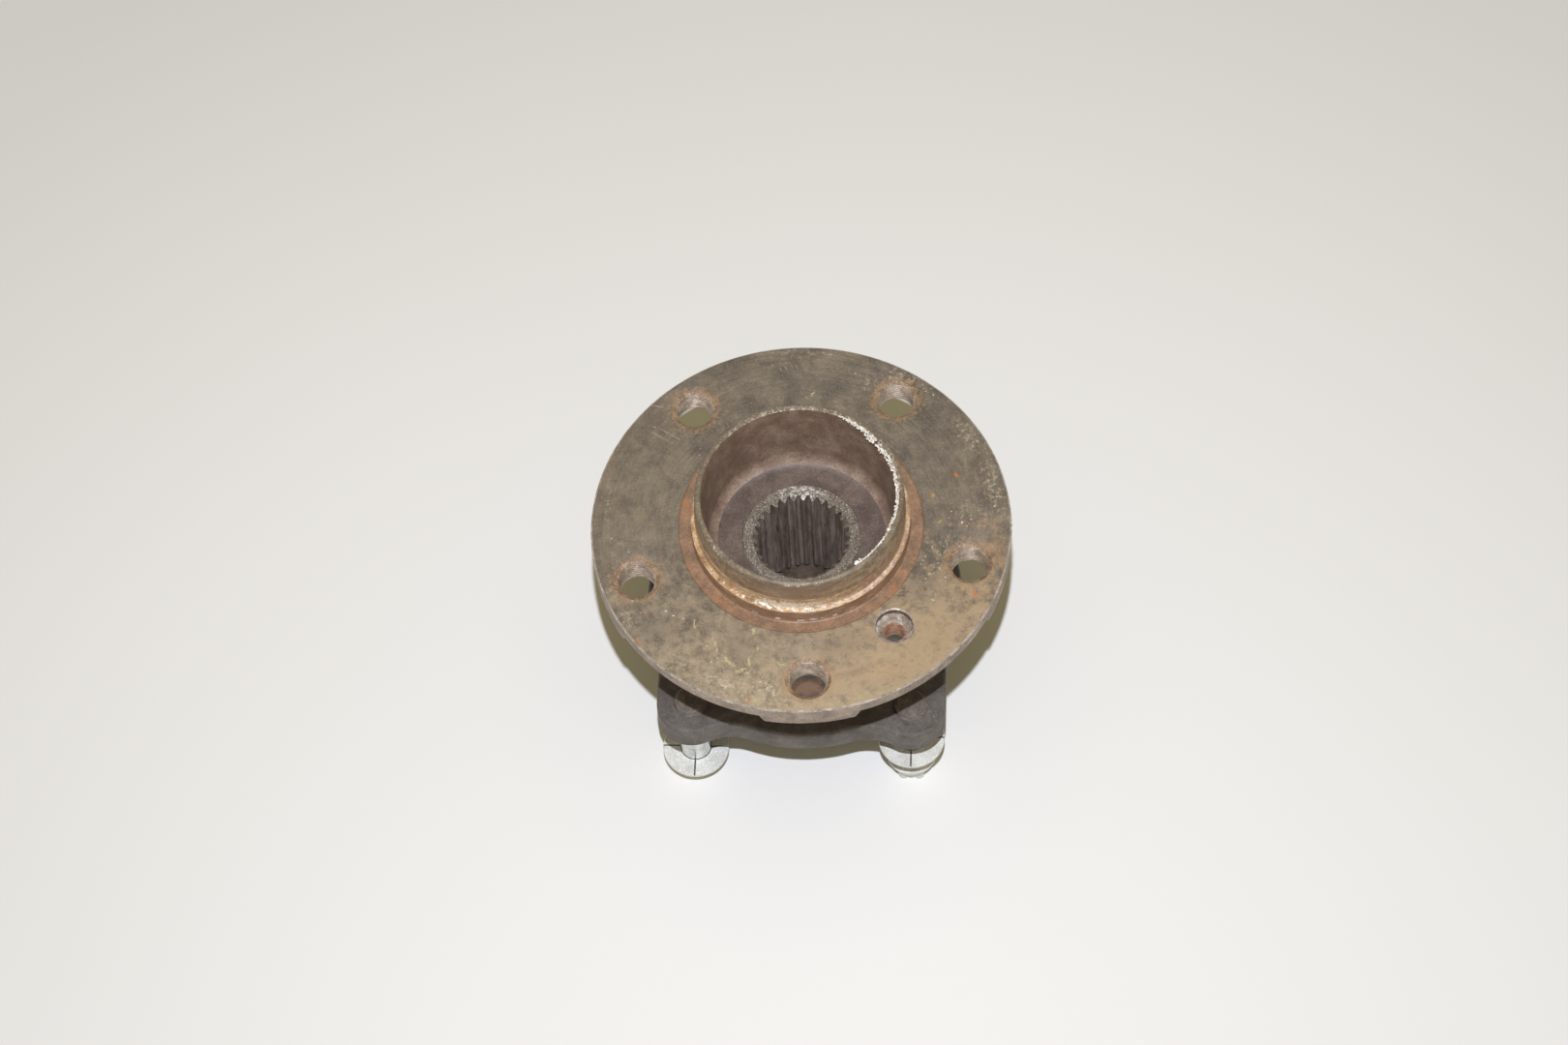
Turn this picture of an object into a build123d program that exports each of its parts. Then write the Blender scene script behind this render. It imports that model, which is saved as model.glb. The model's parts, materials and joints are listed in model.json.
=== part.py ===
"""Driven-wheel hub bearing unit of the third generation, standing on its bolt heads.

Millimetres. The origin is on the hub axis at the surface the bolt heads stand on, and +Z points
along the axis towards the wheel. The ears' bolt rectangle lies square to X and Y.
"""
from build123d import *
import os
from math import cos, radians, tan

# ---- Mounting bolts: waisted screws that stay with the unit, driven from the knuckle side ----
BOLT_THREAD_D = 12.0
BOLT_LENGTH = 38.0
BOLT_WAIST_D = 10.86
BOLT_WAIST_LENGTH = 16.5
BOLT_RUN_OUT = 0.8
BOLT_TIP_CHAMFER = 1.2
BOLT_FLANGE_D = 17.5
BOLT_FLANGE_H = 2.5
BOLT_FLANGE_EDGE = 1.3
DRIVE_D = 14.7
DRIVE_H = 6.0
DRIVE_LOBES = 6
DRIVE_LOBE_R = 1.75
DRIVE_ROOT_D = 12.2
DRIVE_CHAMFER = 0.7
BOLT_INSET_X = 7.5
BOLT_INSET_Y = 2.5

# ---- Captive washers ----
WASHER_D = 23.5
WASHER_BORE = 11.3
WASHER_THICKNESS = 1.7
WASHER_EDGE = 0.3
WASHER_SEAT_GAP = 0.1
RAISED_WASHER_LIFT = 10.1

# ---- Bearing outer ring ----
EAR_THICKNESS = 10.0
EAR_R = 12.1
EAR_BLEND_R = 20.0
EAR_EDGE = 1.2
PLATE_MARGIN = 10.0
BOLT_TIP_PROUD = 2.0
SPIGOT_WALL = 4.8
SPIGOT_LENGTH = 16.5
SPIGOT_LEAD_IN = 1.5
BARREL_HEIGHT = 35.5
BARREL_FILLET = 3.0
BARREL_EDGE = 1.0
THREAD_CLEARANCE = 0.1

# ---- Ball rows, back to back ----
BALL_D = 12.7
BALL_COUNT = 14
PITCH_R = 34.0
ROW_SPACING = 32.0
ROW_MIDDLE_HEIGHT = 15.5
GROOVE_CLEARANCE = 0.15
SHOULDER_STEP = 2.0
OUTER_OPEN_STEP = 6.3
INNER_LOW_STEP = 5.8
CAGE_INNER_STEP = 2.8
CAGE_OUTER_STEP = 1.4
CAGE_SNAP = 3.0
CAGE_RING = 2.4
POCKET_CLEARANCE = 0.2

# ---- Inner ring, held on the hub's stub by its rolled-over rim ----
STUB_R = 22.5
PRESS_ALLOWANCE = 0.01
INNER_RING_LENGTH = 34.0
INNER_RING_EDGE = 0.8
RIM_R = 29.0
RIM_H = 4.5
RIM_ROUND = 2.5

# ---- Wheel flange ----
FLANGE_OFFSET = 60.0
FLANGE_D = 145.0
WHEEL_HOLE_INSET = 12.5
FLANGE_THICKNESS = 5.7
FLANGE_EDGE = 0.6
BOSS_THICKNESS = 9.0
BOSS_WIDTH = 30.0
BOSS_DRAFT = 30.0
WHEEL_HOLES = 5
WHEEL_THREAD_BORE = 12.5
WHEEL_HOLE_CHAMFER_D = 15.8
WHEEL_HOLE_CHAMFER_ANGLE = 120.0
FIRST_HOLE_ANGLE = -85.7
DISC_SCREW_RADIUS = 51.2
DISC_SCREW_BORE = 6.8
DISC_SCREW_SINK_D = 13.0
DISC_SCREW_SINK_ANGLE = 90.0
SCREW_BOSS_R = 7.5
SCREW_BOSS_THICKNESS = 12.3

# ---- Pilot collar and cup ----
DISC_PILOT_R = 37.75
DISC_PILOT_H = 6.0
WHEEL_PILOT_R = 36.25
WHEEL_PILOT_H = 6.0
COLLAR_HEIGHT = 21.0
COLLAR_TAPER = 0.45
COLLAR_EDGE = 0.4
LIP_ROUND = 1.4
COLLAR_FOOT_R = 0.8
RELIEF_OUTER_R = 42.4
RELIEF_DEPTH = 0.4
CUP_MOUTH_R = 33.7
CUP_BASE_R = 32.0
CUP_CORNER_R = 5.0
CUP_DEPTH = 8.5
CUP_LAND_R = 20.2
CUP_LAND_RISE = 0.5

# ---- Hub root and seal land ----
SEAL_LAND_STEP = 0.5
SEAL_LAND_RUN = 8.0
ROOT_R = 41.5
SHOULDER_HEIGHT = 6.2

# ---- Splined bore ----
SPLINE_TEETH = 30
SPLINE_MINOR_R = 15.35
SPLINE_MAJOR_R = 16.7
SPLINE_FLANK = 30.0
SPLINE_MOUTH_R = 17.0
SPLINE_LENGTH = 45.8
COUNTERBORE_R = 17.0

# ---- Seals ----
SEAL_SEAT_STEP = 7.2
SEAL_SEAT_DEPTH = 7.5
CASE_WALL = 0.8
CASE_INSET = 0.5
OUTBOARD_CASE_DEPTH = 6.0
WEB_SHARE = 0.4
LIP_THICKNESS = 2.2
LIP_CLEARANCE = 0.15
INBOARD_LAND_STEP = 1.0
SLINGER_CLEARANCE = 1.3
SLINGER_SLEEVE = 6.5
SLINGER_WALL = 0.8
SLINGER_GAP = 0.6
ENCODER_THICKNESS = 1.0
ENCODER_SHARE = 0.77

# ---- Heights and radii that follow from the sizes above ----
BEARING_FACE_Z = DRIVE_H + BOLT_FLANGE_H
BOLT_TIP_Z = BEARING_FACE_Z + BOLT_LENGTH
RUN_OUT_Z = BEARING_FACE_Z + BOLT_WAIST_LENGTH
EAR_TOP_Z = BOLT_TIP_Z - BOLT_TIP_PROUD
KNUCKLE_Z = EAR_TOP_Z - EAR_THICKNESS
BARREL_BOTTOM_Z = KNUCKLE_Z - SPIGOT_LENGTH
BARREL_TOP_Z = EAR_TOP_Z + BARREL_HEIGHT
ROW_MIDDLE_Z = KNUCKLE_Z + ROW_MIDDLE_HEIGHT
OUTBOARD_ROW_Z = ROW_MIDDLE_Z + ROW_SPACING / 2
INBOARD_ROW_Z = ROW_MIDDLE_Z - ROW_SPACING / 2
FACE_Z = KNUCKLE_Z + FLANGE_OFFSET
FLANGE_BACK_Z = FACE_Z - FLANGE_THICKNESS
CUP_FLOOR_Z = FACE_Z - CUP_DEPTH
CUP_LAND_Z = CUP_FLOOR_Z + CUP_LAND_RISE
COLLAR_TOP_Z = FACE_Z + COLLAR_HEIGHT
SPLINE_TOP_Z = CUP_LAND_Z - (SPLINE_MOUTH_R - SPLINE_MINOR_R)
SPLINE_BOTTOM_Z = SPLINE_TOP_Z - SPLINE_LENGTH
INNER_RING_TOP_Z = ROW_MIDDLE_Z
INNER_RING_BOTTOM_Z = INNER_RING_TOP_Z - INNER_RING_LENGTH
HUB_END_Z = INNER_RING_BOTTOM_Z - RIM_H
BALL_R = BALL_D / 2
GROOVE_R = BALL_R + GROOVE_CLEARANCE
INNER_SHOULDER_R = PITCH_R - SHOULDER_STEP
OUTER_SHOULDER_R = PITCH_R + SHOULDER_STEP
INNER_LOW_R = PITCH_R - INNER_LOW_STEP
OUTER_OPEN_R = PITCH_R + OUTER_OPEN_STEP
CAGE_INNER_R = PITCH_R - CAGE_INNER_STEP
CAGE_OUTER_R = PITCH_R + CAGE_OUTER_STEP
SEAL_LAND_R = PITCH_R - SEAL_LAND_STEP
INBOARD_LAND_R = PITCH_R - INBOARD_LAND_STEP
SEAL_SEAT_R = PITCH_R + SEAL_SEAT_STEP
SPIGOT_R = SEAL_SEAT_R + SPIGOT_WALL
PLATE_R = SPIGOT_R + PLATE_MARGIN
BOLT_SPACING_X = 2 * (SPIGOT_R - BOLT_INSET_X)
BOLT_SPACING_Y = 2 * (SPIGOT_R - BOLT_INSET_Y)
FLANGE_R = FLANGE_D / 2
WHEEL_PCD = FLANGE_D - 2 * WHEEL_HOLE_INSET
CASE_LIP_R = SEAL_LAND_R + WEB_SHARE * (SEAL_SEAT_R - SEAL_LAND_R)
SLINGER_R = SEAL_SEAT_R - SLINGER_CLEARANCE
ENCODER_INNER_R = SLINGER_R - ENCODER_SHARE * (SLINGER_R - INBOARD_LAND_R)


def revolved(points):
    """Solid of revolution about the hub axis from an (r, z) outline."""
    outline = make_face(Polyline([(r, 0, z) for r, z in points], close=True))
    return revolve(outline, Axis.Z)


def tube(outer, inner, bottom, top):
    """Plain ring between two radii and two heights."""
    return revolved([(inner, bottom), (outer, bottom), (outer, top), (inner, top)])


def raceway(row_z):
    """The tunnel that a row's ball grooves share, concentric with the balls."""
    return Pos(0, 0, row_z) * Torus(PITCH_R, GROOVE_R)


def bolt_places():
    """Where the four mounting bolts stand, by name."""
    x = BOLT_SPACING_X / 2
    y = BOLT_SPACING_Y / 2
    return {
        "front_left": (-x, -y),
        "front_right": (x, -y),
        "rear_left": (-x, y),
        "rear_right": (x, y),
    }


# ---- Hub ----

def hub_core():
    """Stub, rolled rim, raceway shoulder, root, collar, cup and plain bore in one turned piece."""
    pilot_top = FACE_Z + DISC_PILOT_H
    taper_foot = pilot_top + WHEEL_PILOT_H
    collar_r = WHEEL_PILOT_R - COLLAR_TAPER
    relief_z = FACE_Z - RELIEF_DEPTH
    shoulder_z = OUTBOARD_ROW_Z + SHOULDER_HEIGHT
    land_foot = shoulder_z + (SEAL_LAND_R - INNER_SHOULDER_R)
    bulge = 1 - cos(radians(45))
    rounding = CUP_CORNER_R * bulge
    foot = COLLAR_FOOT_R * bulge
    rim = RIM_ROUND * bulge
    lip = LIP_ROUND * bulge
    with BuildPart() as turned:
        with BuildSketch(Plane.XZ):
            with BuildLine():
                Polyline(
                    (COUNTERBORE_R, HUB_END_Z),
                    (RIM_R - RIM_ROUND, HUB_END_Z),
                )
                ThreePointArc(
                    (RIM_R - RIM_ROUND, HUB_END_Z),
                    (RIM_R - rim, HUB_END_Z + rim),
                    (RIM_R, HUB_END_Z + RIM_ROUND),
                )
                Polyline(
                    (RIM_R, HUB_END_Z + RIM_ROUND),
                    (RIM_R, INNER_RING_BOTTOM_Z),
                    (STUB_R, INNER_RING_BOTTOM_Z),
                    (STUB_R, INNER_RING_TOP_Z),
                    (INNER_LOW_R, INNER_RING_TOP_Z),
                    (INNER_LOW_R, OUTBOARD_ROW_Z),
                    (INNER_SHOULDER_R, OUTBOARD_ROW_Z),
                    (INNER_SHOULDER_R, shoulder_z),
                    (SEAL_LAND_R, land_foot),
                    (SEAL_LAND_R, FLANGE_BACK_Z - SEAL_LAND_RUN),
                    (ROOT_R, FLANGE_BACK_Z),
                    (FLANGE_R - FLANGE_EDGE, FLANGE_BACK_Z),
                    (FLANGE_R, FLANGE_BACK_Z + FLANGE_EDGE),
                    (FLANGE_R, FACE_Z - FLANGE_EDGE),
                    (FLANGE_R - FLANGE_EDGE, FACE_Z),
                    (RELIEF_OUTER_R, FACE_Z),
                    (RELIEF_OUTER_R - RELIEF_DEPTH, relief_z),
                    (DISC_PILOT_R + COLLAR_FOOT_R, relief_z),
                )
                ThreePointArc(
                    (DISC_PILOT_R + COLLAR_FOOT_R, relief_z),
                    (DISC_PILOT_R + foot, relief_z + foot),
                    (DISC_PILOT_R, relief_z + COLLAR_FOOT_R),
                )
                Polyline(
                    (DISC_PILOT_R, relief_z + COLLAR_FOOT_R),
                    (DISC_PILOT_R, pilot_top - COLLAR_EDGE),
                    (DISC_PILOT_R - COLLAR_EDGE, pilot_top),
                    (WHEEL_PILOT_R, pilot_top),
                    (WHEEL_PILOT_R, taper_foot),
                    (collar_r, COLLAR_TOP_Z - LIP_ROUND),
                )
                ThreePointArc(
                    (collar_r, COLLAR_TOP_Z - LIP_ROUND),
                    (collar_r - lip, COLLAR_TOP_Z - lip),
                    (collar_r - LIP_ROUND, COLLAR_TOP_Z),
                )
                Polyline(
                    (collar_r - LIP_ROUND, COLLAR_TOP_Z),
                    (CUP_MOUTH_R + COLLAR_EDGE, COLLAR_TOP_Z),
                    (CUP_MOUTH_R, COLLAR_TOP_Z - COLLAR_EDGE),
                    (CUP_BASE_R, CUP_FLOOR_Z + CUP_CORNER_R),
                )
                ThreePointArc(
                    (CUP_BASE_R, CUP_FLOOR_Z + CUP_CORNER_R),
                    (CUP_BASE_R - rounding, CUP_FLOOR_Z + rounding),
                    (CUP_BASE_R - CUP_CORNER_R, CUP_FLOOR_Z),
                )
                Polyline(
                    (CUP_BASE_R - CUP_CORNER_R, CUP_FLOOR_Z),
                    (CUP_LAND_R + CUP_LAND_RISE, CUP_FLOOR_Z),
                    (CUP_LAND_R, CUP_LAND_Z),
                    (SPLINE_MOUTH_R, CUP_LAND_Z),
                    (SPLINE_MINOR_R, SPLINE_TOP_Z),
                    (SPLINE_MINOR_R, SPLINE_BOTTOM_Z),
                    (COUNTERBORE_R, SPLINE_BOTTOM_Z - (COUNTERBORE_R - SPLINE_MINOR_R)),
                    (COUNTERBORE_R, HUB_END_Z),
                )
            make_face()
        revolve(axis=Axis.Z)
    return turned.part


def flange_bosses():
    """Five drafted pads behind the wheel-bolt holes, left standing by the scallops between them."""
    rise = BOSS_THICKNESS - FLANGE_THICKNESS
    reach = FLANGE_R - SEAL_LAND_R
    foot = Pos(SEAL_LAND_R + reach, 0) * Rectangle(2 * reach, BOSS_WIDTH + 2 * rise * tan(radians(BOSS_DRAFT)))
    pad = Pos(0, 0, FLANGE_BACK_Z) * extrude(foot, -rise, taper=BOSS_DRAFT)
    rim = revolved([
        (SEAL_LAND_R, FLANGE_BACK_Z - rise),
        (FLANGE_R - FLANGE_EDGE, FLANGE_BACK_Z - rise),
        (FLANGE_R, FLANGE_BACK_Z - rise + FLANGE_EDGE),
        (FLANGE_R, FLANGE_BACK_Z + FLANGE_EDGE),
        (SEAL_LAND_R, FLANGE_BACK_Z + FLANGE_EDGE),
    ])
    root = Pos(0, 0, FLANGE_BACK_Z + FLANGE_EDGE) * extrude(foot, -FLANGE_EDGE)
    pad = (pad + root) & rim
    return [Rot(0, 0, angle) * pad for angle in wheel_hole_angles()]


def wheel_hole_angles():
    """Directions of the five wheel-bolt holes."""
    return [FIRST_HOLE_ANGLE + 360 / WHEEL_HOLES * i for i in range(WHEEL_HOLES)]


def screw_boss():
    """Round pad behind the disc-locating screw hole, for its longer thread."""
    pad = extrude(Circle(SCREW_BOSS_R), SCREW_BOSS_THICKNESS - FLANGE_THICKNESS / 2)
    pad = chamfer(pad.faces().sort_by(Axis.Z)[0].edges(), FLANGE_EDGE)
    return Rot(0, 0, screw_angle()) * Pos(DISC_SCREW_RADIUS, 0, FACE_Z - SCREW_BOSS_THICKNESS) * pad


def screw_angle():
    """Direction of the disc-locating screw, midway between two wheel-bolt holes."""
    return FIRST_HOLE_ANGLE + 180 / WHEEL_HOLES


def sunk_hole(bore, sink, angle):
    """Through-hole cutter with a countersink of the given full angle at the flange face."""
    spread = tan(radians(angle / 2))
    depth = (sink - bore) / 2 / spread
    return revolved([
        (0, FACE_Z - 2 * SCREW_BOSS_THICKNESS),
        (bore / 2, FACE_Z - 2 * SCREW_BOSS_THICKNESS),
        (bore / 2, FACE_Z - depth),
        (sink / 2 + depth * spread, FACE_Z + depth),
        (0, FACE_Z + depth),
    ])


def flange_holes():
    """Cutters for the wheel-bolt holes and the disc-locating screw hole between two of them."""
    wheel = sunk_hole(WHEEL_THREAD_BORE, WHEEL_HOLE_CHAMFER_D, WHEEL_HOLE_CHAMFER_ANGLE)
    screw = sunk_hole(DISC_SCREW_BORE, DISC_SCREW_SINK_D, DISC_SCREW_SINK_ANGLE)
    cutters = [Rot(0, 0, angle) * Pos(WHEEL_PCD / 2, 0, 0) * wheel for angle in wheel_hole_angles()]
    return cutters + [Rot(0, 0, screw_angle()) * Pos(DISC_SCREW_RADIUS, 0, 0) * screw]


def spline_spaces():
    """The tooth spaces of the drive-shaft spline, straight-flanked, broached through the bore."""
    tooth_pitch = radians(360 / SPLINE_TEETH)
    pitch_r = (SPLINE_MINOR_R + SPLINE_MAJOR_R) / 2
    slope = tan(radians(SPLINE_FLANK))
    inner_r = 2 * SPLINE_MINOR_R - SPLINE_MAJOR_R
    inner_half = pitch_r * tooth_pitch / 4 + (pitch_r - inner_r) * slope
    root_half = pitch_r * tooth_pitch / 4 - (SPLINE_MAJOR_R - pitch_r) * slope
    space = make_face(Polyline(
        [
            (inner_r, -inner_half),
            (SPLINE_MAJOR_R, -root_half),
            (SPLINE_MAJOR_R, root_half),
            (inner_r, inner_half),
        ],
        close=True,
    ))
    bottom = SPLINE_BOTTOM_Z - (COUNTERBORE_R - SPLINE_MINOR_R)
    cutter = Pos(0, 0, bottom) * extrude(space, CUP_LAND_Z - bottom)
    return [Rot(0, 0, 360 / SPLINE_TEETH * i) * cutter for i in range(SPLINE_TEETH)]


def hub_flange():
    """Wheel hub: flange, collar, cup, splined bore and the outboard inner raceway."""
    hub = hub_core() + flange_bosses() + screw_boss()
    hub -= flange_holes()
    hub -= raceway(OUTBOARD_ROW_Z)
    return hub - spline_spaces()


# ---- Bearing rings ----

def inner_ring():
    """Inboard inner ring, pressed on the stub and clamped by the rolled rim."""
    shoulder_z = INBOARD_ROW_Z - SHOULDER_HEIGHT
    bore_r = STUB_R + PRESS_ALLOWANCE
    ring = revolved([
        (bore_r, INNER_RING_BOTTOM_Z),
        (INBOARD_LAND_R - INNER_RING_EDGE, INNER_RING_BOTTOM_Z),
        (INBOARD_LAND_R, INNER_RING_BOTTOM_Z + INNER_RING_EDGE),
        (INBOARD_LAND_R, shoulder_z - (INBOARD_LAND_R - INNER_SHOULDER_R)),
        (INNER_SHOULDER_R, shoulder_z),
        (INNER_SHOULDER_R, INBOARD_ROW_Z),
        (INNER_LOW_R, INBOARD_ROW_Z),
        (INNER_LOW_R, INNER_RING_TOP_Z),
        (bore_r + INNER_RING_EDGE, INNER_RING_TOP_Z),
        (bore_r, INNER_RING_TOP_Z - INNER_RING_EDGE),
    ])
    return ring - raceway(INBOARD_ROW_Z)


def ear_outline():
    """Round plate with a bar of two ears on either side, the hollows between them rolled out."""
    bars = [Pos(side * BOLT_SPACING_X / 2, 0) * Rot(0, 0, 90) * SlotCenterToCenter(BOLT_SPACING_Y, 2 * EAR_R)
            for side in (-1, 1)]
    swollen = offset(Circle(PLATE_R) + bars, EAR_BLEND_R)
    return offset(swollen, -EAR_BLEND_R)


def ear_plate():
    """The eared plate, its upper rim rounded as forged."""
    plate = extrude(Pos(0, 0, KNUCKLE_Z) * ear_outline(), EAR_THICKNESS)
    return fillet(plate.faces().sort_by(Axis.Z)[-1].outer_wire().edges(), EAR_EDGE)


def outer_ring_core():
    """Barrel, spigot, seal seats and the low shoulders between the rows, before the grooves."""
    top_seat = BARREL_TOP_Z - SEAL_SEAT_DEPTH
    bottom_seat = BARREL_BOTTOM_Z + SEAL_SEAT_DEPTH + SLINGER_GAP
    return revolved([
        (SEAL_SEAT_R, BARREL_BOTTOM_Z),
        (SPIGOT_R - SPIGOT_LEAD_IN, BARREL_BOTTOM_Z),
        (SPIGOT_R, BARREL_BOTTOM_Z + SPIGOT_LEAD_IN),
        (SPIGOT_R, BARREL_TOP_Z - BARREL_EDGE),
        (SPIGOT_R - BARREL_EDGE, BARREL_TOP_Z),
        (SEAL_SEAT_R, BARREL_TOP_Z),
        (SEAL_SEAT_R, top_seat),
        (OUTER_OPEN_R, top_seat),
        (OUTER_OPEN_R, OUTBOARD_ROW_Z),
        (OUTER_SHOULDER_R, OUTBOARD_ROW_Z),
        (OUTER_SHOULDER_R, INBOARD_ROW_Z),
        (OUTER_OPEN_R, INBOARD_ROW_Z),
        (OUTER_OPEN_R, bottom_seat),
        (SEAL_SEAT_R, bottom_seat),
    ])


def barrel_root():
    """Concave fillet between the ears' upper face and the barrel."""
    bead = revolved([
        (SPIGOT_R - BARREL_FILLET, EAR_TOP_Z - BARREL_FILLET),
        (SPIGOT_R + BARREL_FILLET, EAR_TOP_Z - BARREL_FILLET),
        (SPIGOT_R + BARREL_FILLET, EAR_TOP_Z + BARREL_FILLET),
        (SPIGOT_R - BARREL_FILLET, EAR_TOP_Z + BARREL_FILLET),
    ])
    return bead - Pos(0, 0, EAR_TOP_Z + BARREL_FILLET) * Torus(SPIGOT_R + BARREL_FILLET, BARREL_FILLET)


def outer_ring():
    """Bearing outer ring: two raceways, knuckle spigot and four threaded ears."""
    hole = Cylinder(BOLT_THREAD_D / 2 + THREAD_CLEARANCE, 4 * EAR_THICKNESS)
    ring = ear_plate() + barrel_root()
    ring -= Pos(0, 0, EAR_TOP_Z) * Cylinder(SPIGOT_R - BARREL_FILLET, 4 * EAR_THICKNESS)
    ring += outer_ring_core()
    ring -= [Pos(x, y, KNUCKLE_Z) * hole for x, y in bolt_places().values()]
    return ring - [raceway(OUTBOARD_ROW_Z), raceway(INBOARD_ROW_Z)]


# ---- Rolling sets ----

def ball_places(row_z):
    """Ball centres of one row."""
    return [Rot(0, 0, 360 / BALL_COUNT * i) * Pos(PITCH_R, 0, row_z) for i in range(BALL_COUNT)]


def balls(row_z):
    """One row of balls."""
    return Compound([place * Solid.make_sphere(BALL_R) for place in ball_places(row_z)])


def cage(row_z, side):
    """Snap cage: a solid ring towards the middle (side -1 below, +1 above) with open-ended pockets."""
    back = row_z + side * (BALL_R + CAGE_RING)
    front = row_z - side * CAGE_SNAP
    ring = tube(CAGE_OUTER_R, CAGE_INNER_R, min(back, front), max(back, front))
    pocket = Sphere(BALL_R + POCKET_CLEARANCE)
    return ring - [place * pocket for place in ball_places(row_z)]


# ---- Seals ----

def outboard_seal_case():
    """Pressed steel ring at the wheel side: cylinder in the outer ring, web turned inwards."""
    top = BARREL_TOP_Z - CASE_INSET
    bottom = top - OUTBOARD_CASE_DEPTH
    outer = SEAL_SEAT_R - PRESS_ALLOWANCE
    return revolved([
        (CASE_LIP_R, bottom),
        (outer, bottom),
        (outer, top),
        (outer - CASE_WALL, top),
        (outer - CASE_WALL, bottom + CASE_WALL),
        (CASE_LIP_R, bottom + CASE_WALL),
    ])


def outboard_seal_lip():
    """Rubber moulded on the case's web, with a radial lip on the hub's land and a dust lip."""
    web = BARREL_TOP_Z - CASE_INSET - OUTBOARD_CASE_DEPTH
    tip = SEAL_LAND_R + LIP_CLEARANCE
    return revolved([
        (CASE_LIP_R, web),
        (tip + CASE_WALL, web),
        (tip, web + LIP_THICKNESS / 2),
        (tip + CASE_WALL, web + LIP_THICKNESS),
        (tip + CASE_WALL, web + 2 * LIP_THICKNESS),
        (tip + 2 * CASE_WALL, web + 2 * LIP_THICKNESS),
        (CASE_LIP_R, web + CASE_WALL),
    ])


def slinger():
    """Steel flinger pressed on the inner ring, its flange turned out to carry the encoder."""
    bottom = BARREL_BOTTOM_Z + SLINGER_GAP - SLINGER_WALL
    inner = INBOARD_LAND_R + PRESS_ALLOWANCE
    return revolved([
        (inner, bottom),
        (SLINGER_R, bottom),
        (SLINGER_R, bottom + SLINGER_WALL),
        (inner + SLINGER_WALL, bottom + SLINGER_WALL),
        (inner + SLINGER_WALL, bottom + SLINGER_SLEEVE),
        (inner, bottom + SLINGER_SLEEVE),
    ])


def encoder_ring():
    """Magnetised rubber track bonded under the slinger's flange."""
    top = BARREL_BOTTOM_Z + SLINGER_GAP - SLINGER_WALL
    return tube(SLINGER_R, ENCODER_INNER_R, top - ENCODER_THICKNESS, top)


def inboard_seal_case():
    """Pressed steel ring at the knuckle side, facing the slinger."""
    bottom = BARREL_BOTTOM_Z + CASE_INSET + SLINGER_GAP
    top = bottom + SLINGER_SLEEVE
    outer = SEAL_SEAT_R - PRESS_ALLOWANCE
    return revolved([
        (outer - CASE_WALL, bottom),
        (outer, bottom),
        (outer, top),
        (CASE_LIP_R, top),
        (CASE_LIP_R, top - CASE_WALL),
        (outer - CASE_WALL, top - CASE_WALL),
    ])


def inboard_seal_lip():
    """Rubber on the inboard case's web, running on the slinger's sleeve."""
    top = BARREL_BOTTOM_Z + CASE_INSET + SLINGER_GAP + SLINGER_SLEEVE
    tip = INBOARD_LAND_R + SLINGER_WALL + LIP_CLEARANCE
    return revolved([
        (CASE_LIP_R, top),
        (CASE_LIP_R, top - CASE_WALL),
        (tip + 2 * CASE_WALL, top - 2 * LIP_THICKNESS),
        (tip + CASE_WALL, top - 2 * LIP_THICKNESS),
        (tip + CASE_WALL, top - LIP_THICKNESS),
        (tip, top - LIP_THICKNESS / 2),
        (tip + CASE_WALL, top),
    ])


# ---- Bolts and washers ----

def drive_outline():
    """External six-lobe drive: round lobes on a round core, with hollow flanks."""
    lobe = Pos(DRIVE_D / 2 - DRIVE_LOBE_R, 0) * Circle(DRIVE_LOBE_R)
    return Circle(DRIVE_ROOT_D / 2) + [Rot(0, 0, 360 / DRIVE_LOBES * i) * lobe for i in range(DRIVE_LOBES)]


def mounting_bolt():
    """Waisted flange bolt on its lobed head, the tip up."""
    waist_r = BOLT_WAIST_D / 2
    thread_r = BOLT_THREAD_D / 2
    flange_r = BOLT_FLANGE_D / 2
    drive = extrude(drive_outline(), DRIVE_H)
    point = revolved([
        (0, 0),
        (DRIVE_D / 2 - DRIVE_CHAMFER, 0),
        (DRIVE_D / 2, DRIVE_CHAMFER),
        (DRIVE_D / 2, DRIVE_H),
        (0, DRIVE_H),
    ])
    body = revolved([
        (0, DRIVE_H),
        (flange_r - BOLT_FLANGE_EDGE / 2, DRIVE_H),
        (flange_r, DRIVE_H + BOLT_FLANGE_EDGE),
        (flange_r, BEARING_FACE_Z),
        (waist_r, BEARING_FACE_Z),
        (waist_r, RUN_OUT_Z),
        (thread_r, RUN_OUT_Z + BOLT_RUN_OUT),
        (thread_r, BOLT_TIP_Z - BOLT_TIP_CHAMFER),
        (thread_r - BOLT_TIP_CHAMFER, BOLT_TIP_Z),
        (0, BOLT_TIP_Z),
    ])
    return (drive & point) + body


def washer():
    """Captive washer seated just above the bolt's bearing face."""
    bottom = BEARING_FACE_Z + WASHER_SEAT_GAP
    top = bottom + WASHER_THICKNESS
    outer = WASHER_D / 2
    return revolved([
        (WASHER_BORE / 2, bottom),
        (outer - WASHER_EDGE, bottom),
        (outer, bottom + WASHER_EDGE),
        (outer, top - WASHER_EDGE),
        (outer - WASHER_EDGE, top),
        (WASHER_BORE / 2, top),
    ])


def washer_lift(name):
    """Height of a washer above its seat: the front right one has stayed part of the way up its bolt."""
    return RAISED_WASHER_LIFT if name == "front_right" else 0


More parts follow.
